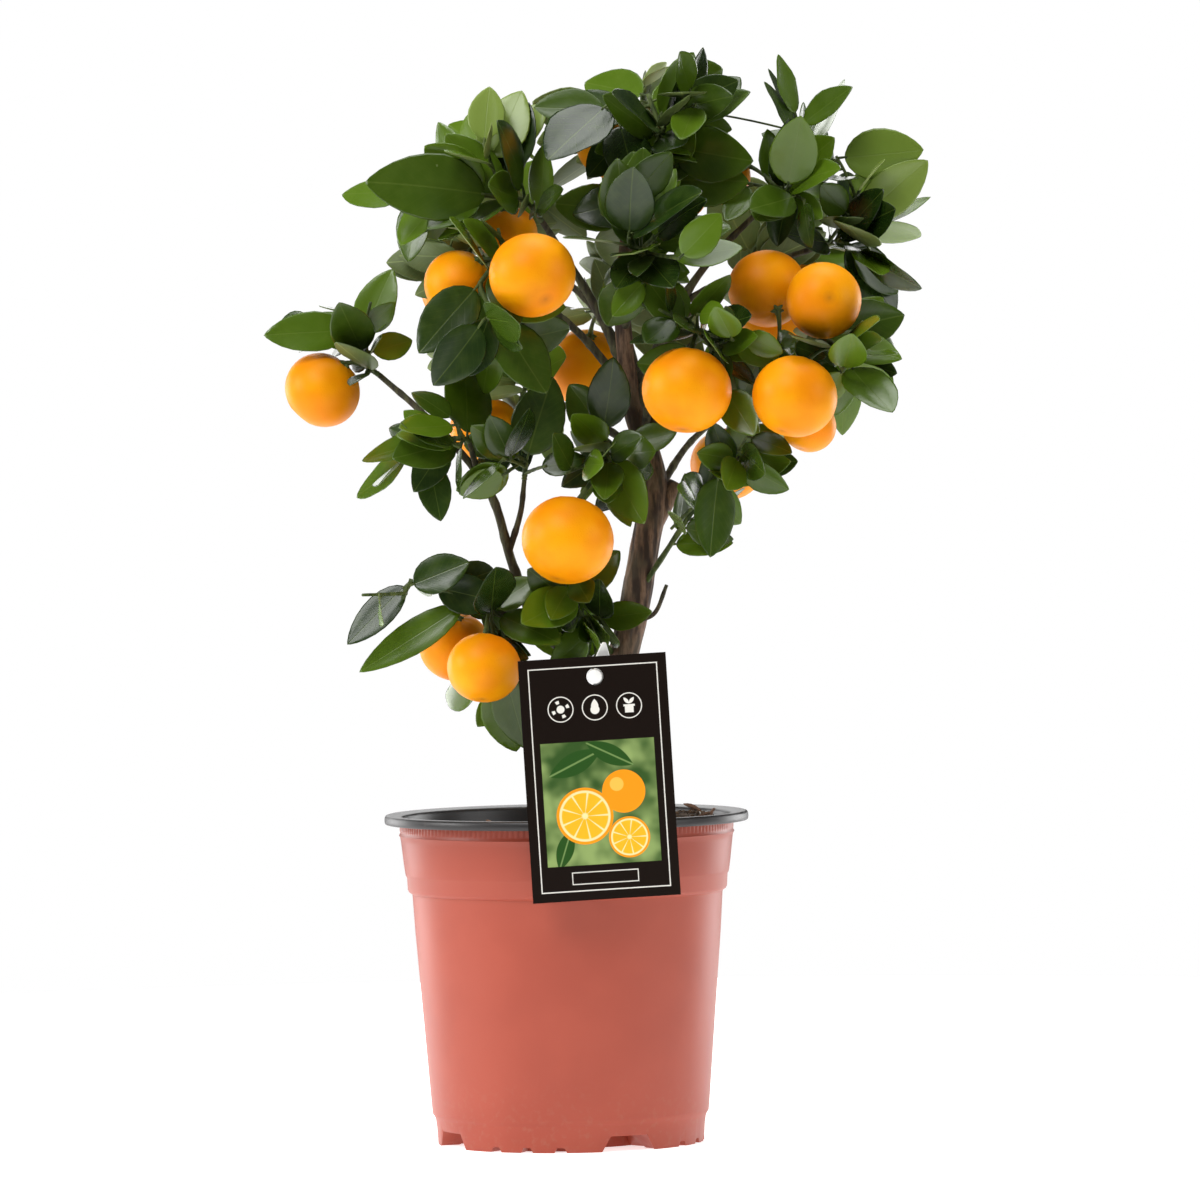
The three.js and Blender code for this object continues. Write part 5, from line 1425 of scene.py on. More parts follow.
growths = [Growth(name) for name in massNames]
for growth in growths:
    growth.grow()
print("grown as the solids:", sum(len(growth.bearers) for growth in growths), "leaves")
for growth in growths:
    growth.startCloser()
for x, y, z, length, *wanted in closeReach:
    reachTip(np.array([x, y, z], float), length, wanted)
for growth in growths:
    growth.poseLeaves()
for growth in growths:
    growth.growCloser()
print("grown closer:", sum(len(growth.bearers) for growth in growths), "leaves")


# Foliage: every mass's leaves, twigs and fruit, joined each kind apart.
leafShape = {  # sides: shares of half the width; faces: 1 above, -1 below; young: x, z and radius
    "rings": [0.01, 0.05, 0.13, 0.25, 0.39, 0.53, 0.67, 0.8, 0.9, 0.97], "petiole": 0.09, "thick": 0.5,
    "sides": [-1, -0.93, -0.5, 0, 0.5, 0.93, 1, 0.93, 0, -0.93], "faces": [0, 1, 1, 1, 1, 1, 0, -1, -1, -1],
    "underFrom": 6,  # from this column on the faces are the underside
    "swell": [0.6, 0.8], "fold": [0.05, 0.22], "wave": 0.03, "droop": [-0.05, 0.07], "sickle": 0.05,
    "young": [[172, 508, 16], [172, 436, 15], [182, 470, 10], [-32, 539, 20], [-108, 498, 13], [56, 556, 8]],
}
twigShape = {
    "rings": 10, "sides": 7, "thin": 0.66, "thickFrom": 1.2,  # thick ones are drawn thinner than the solids
    "knot": 0.1, "knotTurn": 27, "petiole": [0.85, 0.6], "petioleRings": 4, "petioleSides": 5,
}


def gatherLeaves():  # all leaves, the places on their twigs, and a tone by spray and by leaf
    leaf = {key: np.concatenate([growth.leaves[key] for growth in growths]) for key in growths[0].leaves}
    feet, tones = [], []
    for number, growth in enumerate(growths):
        spray = {}
        random = np.random.default_rng(900 + number)
        for twig, share in growth.bearers:
            tone = spray.setdefault(id(twig), random.uniform(0.0, 0.45))
            tones.append(tone + random.uniform(-0.2, 0.3))
            feet.append(curveOf(twig, share))
    middle = leaf["root"] + leaf["along"] * leaf["length"][:, None] / 2
    tones = np.array(tones)
    for x, z, radius in leafShape["young"]:
        near = np.hypot(middle[:, 0] - x, middle[:, 2] - z) < radius
        tones = np.where(near, np.clip(0.75 + tones * 0.5, 0, 1), tones)
    return leaf, np.array(feet), tones


# Half width of a blade: t^0.6 (1-t)^0.8 over its greatest value, with t from base to tip
def bladeHalf(t):
    low, high = leafShape["swell"]
    widest = low / (low + high)
    shape = np.clip(t, 0, 1) ** low * np.clip(1 - t, 0, 1) ** high
    return shape / (widest**low * (1 - widest) ** high) / 2


# Blades: rings across each leaf, lifted by fold |side|, a ripple, half the thickness and the arch.
def addLeaves(leaf, tones):
    s = leafShape
    count = len(tones)
    random = np.random.default_rng(17)
    length = leaf["length"][:, None, None]
    t = np.array(s["rings"])[None, :, None]
    side = np.array(s["sides"], float)
    face = np.array(s["faces"], float)
    fold = random.uniform(*s["fold"], count)[:, None, None]
    wave = random.uniform(0, s["wave"], count)[:, None, None]
    phase = random.uniform(0, fullTurn, count)[:, None, None]
    droop = random.uniform(*s["droop"], count)[:, None, None]
    sickle = random.uniform(-s["sickle"], s["sickle"], count)[:, None, None]

    def spine(t):  # arch and sideways bend, both growing with the square of the share
        share = s["petiole"] + (1 - s["petiole"]) * t
        return share, -(growthRule["leafArch"] + droop * t) * share**2 * length, sickle * t**2 * length

    share, arch, bend = spine(t)
    width = leaf["width"][:, None, None]
    half = bladeHalf(t) * width
    lateral = side * half
    ripple = wave * np.sin(t * 11 + phase + side) * side**2 * half * 2
    skin = face * s["thick"] / 2 * (1 - side**2 * 0.5)
    lift = fold * (np.abs(lateral) - half * 0.5) + ripple + skin + arch
    root, along, across, up = (leaf[key][:, None, None] for key in ("root", "along", "across", "up"))
    rings = (root + along * (share * length)[..., None] + across * (lateral + bend)[..., None]
             + up * lift[..., None])

    def pole(t):  # the point on the spine at t
        share, arch, bend = spine(np.full((1, 1, 1), t))
        place = root + along * (share * length)[..., None] + across * bend[..., None] + up * arch[..., None]
        return place[:, 0, 0]

    corners, faceSets, columns = closeRings(rings, pole(0.0), pole(1.0))
    spread = np.broadcast_to(0.5 + lateral / width, rings.shape[:3])
    grid = np.stack([spread, np.broadcast_to(t, rings.shape[:3])], -1)
    uv = ringValues(grid, np.tile([0.5, 0.0], (count, 1)), np.tile([0.5, 1.0], (count, 1)))
    tone = ringValues(np.broadcast_to(tones[:, None, None], rings.shape[:3]), tones, tones)
    under = columns >= s["underFrom"]
    piece = addPiece("leafBlades", corners, faceSets, [leafTop, leafUnder], under, uv, {"tone": tone})
    place(piece, "foliage", *["leaves_" + name for name in massNames])


def addTwigs(leaf, feet):  # twigs with slight knots, and a straight petiole to each leaf
    s = twigShape
    share = np.linspace(0, 1, s["rings"])
    twigs = [twig for growth in growths for twig in growth.drawn]
    paths = np.stack([curveOf(twig, share) for twig in twigs])
    thick, thin = np.array([twig["radius"] for twig in twigs], float).T[..., None]
    drawn = np.where(thick > s["thickFrom"], s["thin"], 1.0)
    knots = 1 + s["knot"] * np.cos(share * s["knotTurn"])[None]
    radii = (thick + (thin - thick) * share) * drawn * knots
    corners, faceSets, _ = sweepTubes(paths, radii[..., None] * np.ones(s["sides"]))
    place(addPiece("twigs", corners, faceSets, [twigGreen]), "green_wood")
    base = leaf["root"] + leaf["along"] * (leaf["length"] * (leafShape["petiole"] + 0.03))[:, None]
    step = np.linspace(0, 1, s["petioleRings"])
    paths = feet[:, None] + (base - feet)[:, None] * step[None, :, None]
    thick, thin = s["petiole"]
    radii = (thick + (thin - thick) * step)[None, :, None]
    radii = np.broadcast_to(radii, (len(feet), s["petioleRings"], s["petioleSides"]))
    corners, faceSets, _ = sweepTubes(paths, radii)
    place(addPiece("petioles", corners, faceSets, [twigGreen]), "green_wood")


fruitShape = {
    "rings": 22, "sides": 40, "flat": 0.94, "stalkDimple": 0.07, "stalkSpread": 0.28, "scarDimple": 0.055,
    "scarSpread": 0.22, "scarSize": 0.1, "lobes": 9, "lobe": 0.008, "lobeSpread": 0.8,
    "lumps": [0.010, 0.007], "calyx": 4.0, "calyxSides": 30, "calyxReach": [0.5, 1.0, 0.96, 0.42],
    "calyxLift": [-1.4, -0.9, -0.1, 0.9],
    "stalk": [1.15, 1.1, 1.05, 1.05, 1.1, 1.2, 1.45, 1.8], "stalkSides": 8, "stalkRise": 7.0,
}


def fruitFrames():  # place, axes and radius of every fruit
    fruits = [fruit for growth in growths for fruit in growth.hanging]
    place, up = (np.stack([fruit[key] for fruit in fruits]) for key in ("place", "up"))
    size = np.array([fruit["size"] for fruit in fruits])
    across = unit(np.cross(up, [0.3, 0.9, 0.1]))
    return fruits, place, up, across, np.cross(up, across), size


# Radius by the angle from the stalk, with a dimple at each end, nine faint lobes and lumps
def addFruit():
    s = fruitShape
    fruits, centre, up, across, other, size = fruitFrames()
    count = len(fruits)
    down = (np.arange(s["rings"]) + 0.6) / (s["rings"] + 0.2) * math.pi  # angle from the blossom end
    turn = turnsOf(s["sides"])
    top = math.pi - down

    def radiusAt(fromScar, fromStalk):  # 1 less a bell-shaped dimple at each end
        scarDip = s["scarDimple"] * np.exp(-(fromScar / s["scarSpread"]) ** 2)
        return 1 - (scarDip + s["stalkDimple"] * np.exp(-(fromStalk / s["stalkSpread"]) ** 2))

    shape = radiusAt(down, top)[None, :, None] * size[:, None, None]
    nearTop = np.exp(-(top / s["lobeSpread"]) ** 2)[None, :, None]
    lobes = 1 + s["lobe"] * np.sin(turn * s["lobes"])[None, None] * nearTop
    phase = np.arange(count)[:, None, None] * 2.4
    belly = np.sin(down)[None, :, None]
    broad, narrow = s["lumps"]
    lumps = 1 + broad * np.sin(turn * 2 + phase) * belly + narrow * np.sin(turn * 3 + phase * 1.7) * belly
    radius = shape * lobes * lumps
    rise = -np.cos(down)[None, :, None] * radius * s["flat"]
    rings = ringsAbout(centre, across, other, up, turn, belly * radius, rise)
    low = (size * radiusAt(0, math.pi) * s["flat"])[:, None]
    high = (size * radiusAt(math.pi, 0) * s["flat"])[:, None]
    corners, faceSets, _ = closeRings(rings, centre - up * low, centre + up * high)
    scar = np.broadcast_to(np.exp(-(down / s["scarSize"]) ** 2)[None, :, None], rings.shape[:3])
    values = {"scar": ringValues(scar, np.ones(count), np.zeros(count))}
    place(addPiece("fruitPeel", corners, faceSets, [peel], values=values), "foliage")


# Calyx: a thin green star of five lobes on the stalk's end, and the stalk: a curve of three points
def addCalyxes():
    s = fruitShape
    fruits, centre, up, across, other, size = fruitFrames()
    turn = turnsOf(s["calyxSides"])
    star = 0.72 + 0.28 * np.cos(turn * 5)
    reach = np.array(s["calyxReach"])[:, None] * star**0.8 * s["calyx"]
    lift = np.array(s["calyxLift"])[:, None] - 0.5 * star[None] * np.array([[0], [1], [1], [0]])
    end = size * s["flat"] * (1 - s["stalkDimple"])
    height = end[:, None, None] + 0.9 + lift[None]
    rings = ringsAbout(centre, across, other, up, turn, reach[None], height)
    low, high = height[:, 0, 0, None], height[:, -1, 0, None] + 0.5
    corners, faceSets, _ = closeRings(rings, centre + up * low, centre + up * high)
    place(addPiece("calyxes", corners, faceSets, [calyxGreen]), "foliage")
    seats = centre + up * (end + 0.8)[:, None]
    starts, middles = (np.stack([fruit["stalk"]["ends"][i] for fruit in fruits])[:, None] for i in (0, 1))
    bend = (middles + seats[:, None] + up[:, None] * s["stalkRise"]) / 2
    t = np.linspace(0, 1, len(s["stalk"]))[None, :, None]
    paths = (1 - t) ** 2 * starts + 2 * t * (1 - t) * bend + t**2 * seats[:, None]
    radii = np.broadcast_to(np.array(s["stalk"])[None, :, None], (*paths.shape[:2], s["stalkSides"]))
    corners, faceSets, _ = sweepTubes(paths, radii)
    place(addPiece("fruitStalks", corners, faceSets, [twigGreen]), "green_wood")


# Flower buds: each place bears an egg of a radius on a short stalk from the nearest leaf's root
budSettings = {
    "buds": [["crown_top", 124.9, -20, 524.2, 2.7], ["back_top", 60, 96, 528, 2.4],
             ["far_left", -128, -12, 432, 2.2]],
    "rings": 8, "sides": 12, "length": 2.6, "stalk": 0.55, "stalkSides": 7, "stalkBow": 4,
}


def addBuds():  # stalks and eggs are tubes along their own line
    s = budSettings
    t = np.linspace(0, 1, s["rings"])[:, None]
    rise = ((np.arange(s["rings"]) + 0.5) / s["rings"])[:, None]
    profile = np.sin(math.pi * rise) ** 0.6 * np.ones(s["sides"])
    stalks, eggs, radii = [], [], []
    for name, x, y, z, radius in s["buds"]:
        centre = np.array([x, y, z], float)
        roots = growths[massNames.index(name)].leaves["root"]
        root = roots[np.argmin(sizeOf(roots - centre))]
        stalks.append(root + (centre - root) * t + upward * (t * (1 - t)) * s["stalkBow"])
        eggs.append(centre + unit(centre - root) * radius * s["length"] * (rise - 0.4))
        radii.append(radius * profile)
    stalkRadii = np.full((len(stalks), s["rings"], s["stalkSides"]), s["stalk"])
    corners, faceSets, _ = sweepTubes(np.stack(stalks), stalkRadii)
    place(addPiece("budStalks", corners, faceSets, [twigGreen]), "green_wood")
    corners, faceSets, _ = sweepTubes(np.stack(eggs), np.stack(radii))
    place(addPiece("flowerBuds", corners, faceSets, [petal]), "foliage")


leaf, feet, tones = gatherLeaves()
addLeaves(leaf, tones)
addTwigs(leaf, feet)
addFruit()
addCalyxes()
addBuds()
print("foliage made")


# Pot: radii up the outside, turned round Z, with notches cut in the foot ring from below.
potSettings = {
    "columns": 720,
    "outside": [[69.4, 0], [70.0, 9], [70.6, 13.0], [71.1, 14.4], [72.0, 15.6], [72.3, 17.2], [76.0, 64],
                [79.7, 110], [80.9, 129.3], [81.1, 130.6], [82.7, 131.6], [83.3, 132.8], [83.7, 139.3],
                [84.3, 140.2], [84.5, 141.2], [85.3, 147], [86.5, 157.8], [86.9, 160.2], [87.5, 161.3],
                [87.0, 162.4], [86.9, 163.0], [86.9, 163.8], [86.9, 166.6], [87.0, 167.4]],
    "inside": [[85.6, 167.4], [81.0, 138], [71.4, 20], [70.0, 10.2]],
    "floor": 9.8, "recess": 8, "notchTurn": 26, "pleats": 180, "pleatDepth": 0.45, "pleatsFrom": 162.8,
    "step": 0.05,  # between two rings on one edge
    "wide": {"depth": 27, "height": 8, "foot": 30, "head": 21},
    "small": {"depth": 10, "height": 2.6, "foot": 6.4, "head": 4, "pitch": 14.7},
}


# Height of a trapezoid notch over the ground, by the distance sideways from its middle line
def notchLift(turn, radius, notch, middle):
    away = (turn - math.radians(middle) + math.pi) % fullTurn - math.pi
    sideways = np.where(np.abs(away) < math.pi / 2, np.abs(radius * np.sin(away)), 1e3)
    slope = (notch["foot"] - notch["head"]) / 2
    return notch["height"] * np.clip((notch["foot"] / 2 - sideways) / slope, 0, 1)


# The wall and its hollow as one closed profile, notched below and finely pleated under the lip
def addPot():
    s = potSettings
    turn = turnsOf(s["columns"])
    fromFront = turn + math.pi / 2  # the notches are counted from the front, towards +X

    def lift(radius, small):  # height of the notches at a radius, with or without the small ones
        height = np.zeros(s["columns"])
        for quarter in range(4):
            middle = s["notchTurn"] + 90 * quarter
            height = np.maximum(height, notchLift(fromFront, radius, s["wide"], middle))
            for step in (-1, 0, 1) if small else ():
                at = middle + 45 + step * s["small"]["pitch"]
                height = np.maximum(height, notchLift(fromFront, radius, s["small"], at))
        return height

    foot = s["outside"][0][0]
    wideIn, smallIn = foot - s["wide"]["depth"], foot - s["small"]["depth"]
    recess, step = s["recess"], s["step"]
    under = [[wideIn - step, 0], [wideIn, recess], [smallIn - step, recess], [smallIn, recess]]
    profile = np.array([[0, 0], *under, *s["outside"], *s["inside"], [0, s["floor"]]])
    rings = turnProfile(profile, s["columns"])
    rings[1, :, 2] = lift(wideIn, False)
    rings[2, :, 2] = lift(smallIn, False)
    rings[3, :, 2] = lift(smallIn, True)
    rings[4, :, 2] = lift(foot, True)
    height = rings[..., 2]
    outer = np.arange(len(height)) < len(under) + len(s["outside"])
    band = easeStep(height, s["pleatsFrom"], s["pleatsFrom"] + 0.9) * outer[:, None]
    pleat = s["pleatDepth"] * (np.abs(np.sin(turn * s["pleats"] / 2)) - 0.5) * band
    out = np.stack([np.cos(turn), np.sin(turn), 0 * turn], -1)
    rings = rings + out[None] * pleat[..., None]
    corners, faceSets, _ = closeRings(rings[None], np.zeros((1, 3)), np.array([[0, 0, s["floor"]]]))
    piece = addPiece("potWall", corners, faceSets, [terracotta])
    sharpen(piece, 38)
    place(piece, "terracotta_plastic", "pot")


# Lip: a closed profile turned round Z, up the outside, over the top and down the inside.
lipSettings = {"columns": 240, "round": 0.25, "profile": [
    [87.6, 169.6], [91.0, 169.9], [92.6, 169.4], [93.2, 167.9], [93.9, 167.1], [94.5, 167.2], [94.9, 168.0],
    [95.0, 169.4], [94.8, 170.9], [94.2, 171.7], [93.2, 172.0], [91.8, 172.0], [88.6, 171.4], [86.4, 171.1],
    [85.4, 170.4], [84.9, 168.6], [83.4, 158.0], [80.9, 140.0], [80.9, 138.4], [81.7, 138.2], [84.9, 160.0],
    [85.7, 166.0], [86.2, 168.6]]}


def addLip():  # each corner of the profile is cut off at a share of its two edges
    s = lipSettings
    profile = np.array(s["profile"])
    edges = np.roll(profile, -1, 0) - profile
    profile = np.stack([profile + edges * s["round"], profile + edges * (1 - s["round"])], 1).reshape(-1, 2)
    turn = turnsOf(s["columns"])
    radius, height = profile[:, 0][:, None], profile[:, 1][:, None]
    rings = np.stack([radius * np.cos(turn), radius * np.sin(turn), height + 0 * turn], -1)
    corners, faces = wrapRings(rings)
    place(addPiece("potLip", corners, [faces], [blackPlastic]), "black_plastic", "pot_lip")


# Filling: flat with a rise to the right, heaps [x, y, height, spread], waves and crumbs, level by the
# trunk and lower at the wall, as the solids' is. lumps: size, shift, seed and height of each noise.
soilSettings = {
    "edge": 83.6, "level": 162.5, "sink": 1.6, "rise": 4.2, "heaps": [[52, 14, 3.4, 34], [66, -34, 5.5, 17]],
    "waves": 0.8, "lumps": [[9, 40, 3, 2.6], [3.6, 60, 4, 1.5]], "trunk": [4, 26, 163.0], "trunkLumps": 1.6,
    "wallFrom": 74, "wallTo": 84, "wallDrop": 2.2, "base": 11, "wall": [[60, 11], [70.6, 13], [79.4, 138]],
    "rings": 84, "columns": 300, "scatter": 82,
    "pebbles": {  # number, smallest and largest size, seed
        "peatCrumbs": [900, (0.5, 1.7), 11], "perliteGrains": [150, (0.35, 1.0), 12],
    },
    "chips": [  # x, y, z, length and turn
        [71, -40, 171, 10, 40], [60, -50, 169.5, 8, -30], [76, -28, 172.4, 9, 75], [40, -62, 166.5, 7, 10],
        [-40, 30, 165, 9, 120], [20, 55, 166, 8, 200], [-20, -45, 164, 7, 60], [66, 30, 172, 10, 150],
    ],
    "chipRadii": [0.6, 1, 1.1, 1.1, 0.9, 0.5], "chipSides": 6, "chipBow": 0.12, "chipTilt": 0.35,
}


def soilHeight(x, y):  # see the settings above
    s = soilSettings
    heaps = [
        tall * np.exp(-((x - atX) ** 2 + (y - atY) ** 2) / wide**2)
        for atX, atY, tall, wide in s["heaps"]
    ]
    lumps = [
        latticeNoise(x / size + shift, y / size + shift, 97, seed) * tall
        for size, shift, seed, tall in s["lumps"]
    ]
    waves = s["waves"] * np.sin(x * 0.19 + 1.3) * np.sin(y * 0.23 + 0.4)
    trunkX, spread, level = s["trunk"]
    near = np.exp(-((x - trunkX) ** 2 + y**2) / spread**2)
    drop = easeStep(np.hypot(x, y), s["wallFrom"], s["wallTo"]) * s["wallDrop"]
    bare = s["level"] - s["sink"] + s["rise"] * x / 80 + heaps[0] + heaps[1] + waves + (lumps[0] + lumps[1])
    seat = level + latticeNoise(x / 4 + 50, y / 4 + 50, 97, 7) * s["trunkLumps"]
    return bare * (1 - near) + seat * near - drop


def addSoil():  # a profile up the wall and in to the axis, its top rings raised by soilHeight
    s = soilSettings
    radii = s["edge"] * (1 - np.arange(s["rings"]) / s["rings"])
    profile = [[0, s["base"]], *s["wall"], *[[radius, s["level"]] for radius in radii], [0, s["level"]]]
    rings = turnProfile(profile, s["columns"])
    top = slice(len(s["wall"]), None)
    rings[top, :, 2] = soilHeight(rings[top, :, 0], rings[top, :, 1])
    low = np.array([[0, 0, float(s["base"])]])
    high = np.array([[0, 0, float(soilHeight(np.zeros(1), np.zeros(1))[0])]])
    corners, faceSets, _ = closeRings(rings[None], low, high)
    place(addPiece("peatFilling", corners, faceSets, [peat]), "peat", "soil")


# Lumps: small six-sided pebbles, each squashed and turned its own way
def addLumps(name, paint):
    count, sizes, seed = soilSettings["pebbles"][name]
    random = np.random.default_rng(seed)
    away = soilSettings["scatter"] * np.sqrt(random.uniform(0.03, 1, count))
    turn = random.uniform(0, fullTurn, count)
    x, y = away * np.cos(turn), away * np.sin(turn)
    size = random.uniform(*sizes, count)
    centre = np.stack([x, y, soilHeight(x, y) + size * 0.25], 1)
    axis = unit(random.normal(size=(count, 3)))
    across = unit(np.cross(axis, random.normal(size=(count, 3))))
    fall = (np.array([0.28, 0.5, 0.72]) * math.pi)[None, :, None]
    rough = random.uniform(0.75, 1.2, (count, 3, 6)) * size[:, None, None]
    flat, rise = np.sin(fall) * rough, -np.cos(fall) * rough
    rings = ringsAbout(centre, across, np.cross(axis, across), axis, turnsOf(6), flat, rise)
    pole = axis * size[:, None] * 0.9
    corners, faceSets, _ = closeRings(rings, centre - pole, centre + pole)
    place(addPiece(name, corners, faceSets, [paint]), "peat")


def addChips():  # bowed and rough splinters of bark
    s = soilSettings
    t = np.linspace(-0.5, 0.5, len(s["chipRadii"]))
    paths = []
    for x, y, z, length, turn in s["chips"]:
        right, back = math.cos(math.radians(turn)), math.sin(math.radians(turn))
        rise = s["chipBow"] * length * (0.25 - t**2) * 2 + t * length * s["chipTilt"]
        paths.append(np.stack([x + length * t * right, y + length * t * back, z + rise], 1))
    rough = np.random.default_rng(4).uniform(0.5, 1.15, (len(paths), len(t), s["chipSides"]))
    corners, faceSets, _ = sweepTubes(np.stack(paths), rough * np.array(s["chipRadii"])[None, :, None])
    place(addPiece("barkChips", corners, faceSets, [chipWood], smooth=False), "peat")


addPot()
addLip()
addSoil()
addLumps("peatCrumbs", crumbBrown)
addLumps("perliteGrains", perlite)
addChips()
print("pot and filling made")


# Card: rays from the hole's edge to the board's outline, in front and behind.
cardSettings = {
    "width": 75.5, "height": 124, "thickness": 0.7, "turn": -2.8, "centre": [17.5, -97.6, 194.1],
    "hole": 4.3, "holeAt": [16, 245.8], "perSide": 24, "bow": 0.9, "steps": 14,
}
stickSettings = {
    "width": 8, "thickness": 2, "head": 8, "point": 16, "foot": [8, -74, 128], "top": [20.2, -90.4, 255],
    "widths": [0.3, 0.6, 0.98, 1, 1, 1, 0.98, 0.58, 0.28, 0.2], "sides": 24,
    "peg": 3.7, "pegRadii": [1, 1, 0.93, 0.7], "pegDepths": [1.1, 0.5, 0.12], "pegOut": 1.2, "pegIn": 3.0,
    "pegSides": 40,
}


def cardFrame():  # the card's right and up
    turn = math.radians(cardSettings["turn"])
    return np.array([math.cos(turn), 0, -math.sin(turn)]), np.array([math.sin(turn), 0, math.cos(turn)])


def addCard():  # rings from the hole to the outline and back, bowed by the square of the distance sideways
    s = cardSettings
    right, up = cardFrame()
    centre = np.array(s["centre"], float)
    holeFrom = np.array([s["holeAt"][0], centre[1], s["holeAt"][1]]) - centre
    hole = np.array([holeFrom @ right, holeFrom @ up])
    half = np.array([s["width"], s["height"]]) / 2
    step = np.arange(s["perSide"])[:, None] / s["perSide"] * 2 - 1
    one = np.ones_like(step)
    edges = [[one, step], [-step, one], [-one, -step], [step, -one]]
    outline = np.concatenate([np.hstack(edge) for edge in edges]) * half
    inner = hole + unit(outline - hole) * s["hole"]
    share = np.linspace(0, 1, s["steps"])[:, None, None]
    face = inner[None] + (outline - inner)[None] * share
    sheet = np.concatenate([face, face[::-1]])
    depth = np.repeat([-0.5, 0.5], s["steps"])[:, None] * s["thickness"]
    depth = depth - s["bow"] * (sheet[..., 0] / half[0]) ** 2
    back = np.array([0, 1.0, 0])
    rings = centre + right * sheet[..., :1] + up * sheet[..., 1:] + back * depth[..., None]
    corners, quads = wrapRings(rings)
    uv = (sheet / (2 * half) + 0.5).reshape(-1, 2)
    paintOf = np.ones(len(quads))
    paintOf[:(s["steps"] - 1) * len(outline)] = 0
    piece = addPiece("plantCard", corners, [quads], [cardPrint, cardPlain], paintOf, uv)
    sharpen(piece, 35)
    place(piece, "card", "label_card")


# Stick: rounded oblongs carried up from a point to a blunt head, and a domed peg through the hole
def addStick():
    s = stickSettings
    foot, top = np.array(s["foot"], float), np.array(s["top"], float)
    length = sizeOf(top - foot)
    along = unit(top - foot)
    side = unit(np.array([1.0, 0, 0]) - along * along[0])
    out = np.cross(side, along)
    level = np.array([0, 6, s["point"], s["point"] + 1, length * 0.5, length - 1,
                      length, length + 4.5, length + 7.6, length + s["head"]])
    half = np.array(s["widths"]) * s["width"] / 2
    angle = turnsOf(s["sides"])
    flat = np.abs(np.cos(angle)) ** 0.35 * np.sign(np.cos(angle))
    deep = np.abs(np.sin(angle)) ** 0.55 * np.sign(np.sin(angle)) * s["thickness"] / 2
    rings = (foot + along * level[:, None, None] + side * (half[:, None] * flat)[..., None]
             - out * np.broadcast_to(deep, (len(level), s["sides"]))[..., None])
    end = foot + along * (length + s["head"])
    corners, faceSets, _ = closeRings(rings[None], foot[None], end[None])
    place(addPiece("stickBlade", corners, faceSets, [whitePlastic]), "white_plastic", "label_stick")
    x, z = cardSettings["holeAt"]
    front = cardSettings["centre"][1] - cardSettings["thickness"] / 2 - s["pegOut"]
    back = top[1] + s["pegIn"]
    depth = np.array([back, *[front + part for part in s["pegDepths"]]])[:, None]
    radius = np.array(s["pegRadii"])[:, None] * s["peg"]
    angle = turnsOf(s["pegSides"])
    rings = np.stack([x + radius * np.cos(angle), depth + 0 * angle, z + radius * np.sin(angle)], -1)
    corners, faceSets, _ = closeRings(rings[None], np.array([[x, back, z]]), np.array([[x, front, z]]))
    place(addPiece("stickPeg", corners, faceSets, [whitePlastic]), "white_plastic")


addCard()
addStick()
print("card made")


# Room: a pale floor, a white world and soft lights
roomSettings = {
    "floor": (0.9, 0.9, 0.9), "floorGlow": 0.7, "floorRadius": 1200, "floorCorners": 120,
    "world": 0.08, "backdrop": 1.0,
    "lights": {  # place, what it faces, side, power
        "key": [[-1000, -1700, 2300], [0, 0, 300], 1200, 46],
        "left": [[-2400, -400, 900], [0, 0, 250], 900, 34],
        "fill": [[2300, -900, 900], [0, 0, 250], 1200, 16],
        "top": [[200, 200, 2600], [0, 0, 300], 1500, 36],
        "behind": [[-400, 2400, 1500], [0, 0, 350], 1800, 26],
        "leftRim": [[-1500, 1500, 300], [0, 0, 60], 900, 16],
        "rightRim": [[1500, 1500, 300], [0, 0, 60], 900, 18],
    },
}
cameraSettings = {  # millimetres, degrees, and metres for the farthest place that it sees
    "place": [19.2, -4200, 380], "target": [19.2, 0, 282.5], "roll": 0.85, "lens": 241.6, "sensor": 36,
    "farthest": 60,
}


def addBackdrop(tree, strength, backdrop):  # white behind the plant, softer as a light
    sky = tree.nodes["Background"]
    behind = tree.nodes.new("ShaderNodeBackground")
    for node, power in ((sky, strength), (behind, backdrop)):
        node.inputs["Color"].default_value = (1, 1, 1, 1)
        node.inputs["Strength"].default_value = power
    path = tree.nodes.new("ShaderNodeLightPath")
    either = tree.nodes.new("ShaderNodeMixShader")
    tree.links.new(path.outputs["Is Camera Ray"], either.inputs[0])
    tree.links.new(sky.outputs[0], either.inputs[1])
    tree.links.new(behind.outputs[0], either.inputs[2])
    tree.links.new(either.outputs[0], tree.nodes["World Output"].inputs["Surface"])


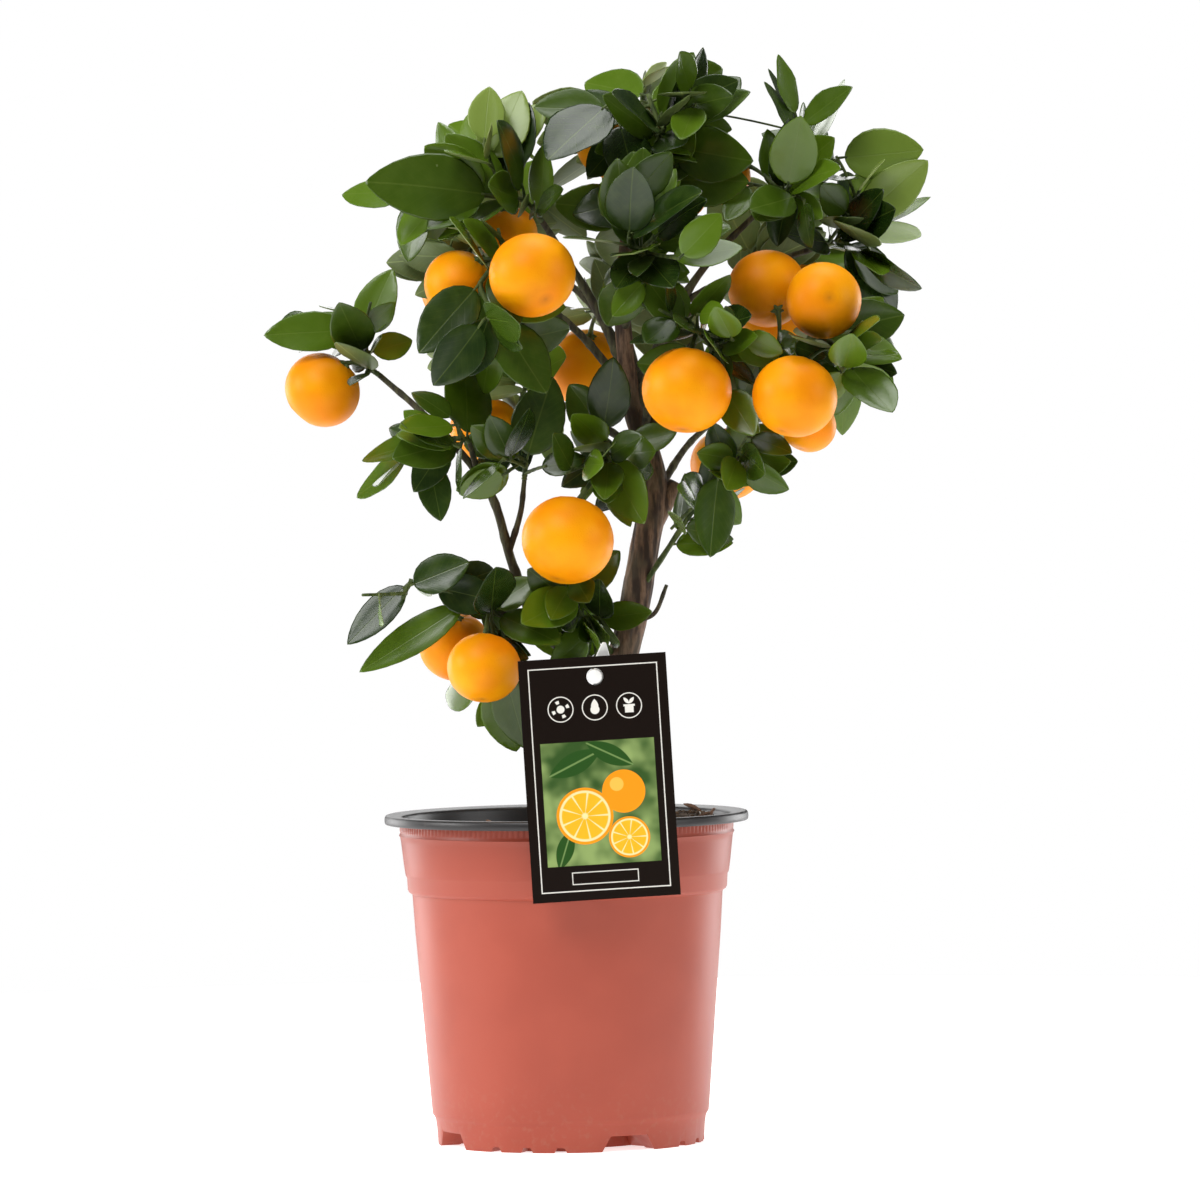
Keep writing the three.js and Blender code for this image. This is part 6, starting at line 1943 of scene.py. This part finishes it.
def addFloor():  # a round sheet at the ground that glows a little
    s = roomSettings
    turn = turnsOf(s["floorCorners"])
    rim = np.stack([np.cos(turn), np.sin(turn), 0 * turn], 1) * s["floorRadius"] * mm
    mesh = bpy.data.meshes.new("floorSheet")
    mesh.from_pydata(rim.tolist(), [], [list(range(len(rim)))])
    floor = bpy.data.objects.new("floorSheet", mesh)
    paint = Paint("floorWhite", Roughness=0.9, Specular_IOR_Level=0.1, Emission_Strength=s["floorGlow"])
    paint.shader.inputs["Emission Color"].default_value = (1, 1, 1, 1)
    mesh.materials.append(paint.colour(s["floor"]))
    bpy.context.scene.collection.objects.link(floor)


def addRoom():  # floor, world and square lamps
    s = roomSettings
    addFloor()
    world = bpy.data.worlds.new("studio")
    world.use_nodes = True
    addBackdrop(world.node_tree, s["world"], s["backdrop"])
    bpy.context.scene.world = world
    for name, (at, target, width, power) in s["lights"].items():
        lamp = bpy.data.lights.new(name, "AREA")
        lamp.size = width * mm
        lamp.energy = power
        light = bpy.data.objects.new(name, lamp)
        light.location = Vector(at) * mm
        light.rotation_euler = (Vector(target) - Vector(at)).to_track_quat("-Z", "Y").to_euler()
        bpy.context.scene.collection.objects.link(light)


def addCamera():  # faces its target, then rolls about its own line of sight
    s = cameraSettings
    place, target = np.array(s["place"], float), np.array(s["target"], float)
    roll = math.radians(s["roll"])
    ahead = unit(target - place)
    right = unit(np.cross(ahead, upward))
    up = np.cross(right, ahead)
    c, sine = math.cos(roll), math.sin(roll)
    right, up = right * c - up * sine, right * sine + up * c
    data = bpy.data.cameras.new("photoCamera")
    data.lens = s["lens"]
    data.sensor_width = s["sensor"]
    data.clip_end = s["farthest"]
    camera = bpy.data.objects.new("photoCamera", data)
    matrix = Matrix([(*values, 0) for values in np.stack([right, up, -ahead], 1)] + [(0, 0, 0, 1)])
    matrix.translation = Vector(place * mm)
    camera.matrix_world = matrix
    bpy.context.scene.collection.objects.link(camera)
    bpy.context.scene.camera = camera


addRoom()
addCamera()
bpy.context.scene.view_settings.view_transform = "Standard"
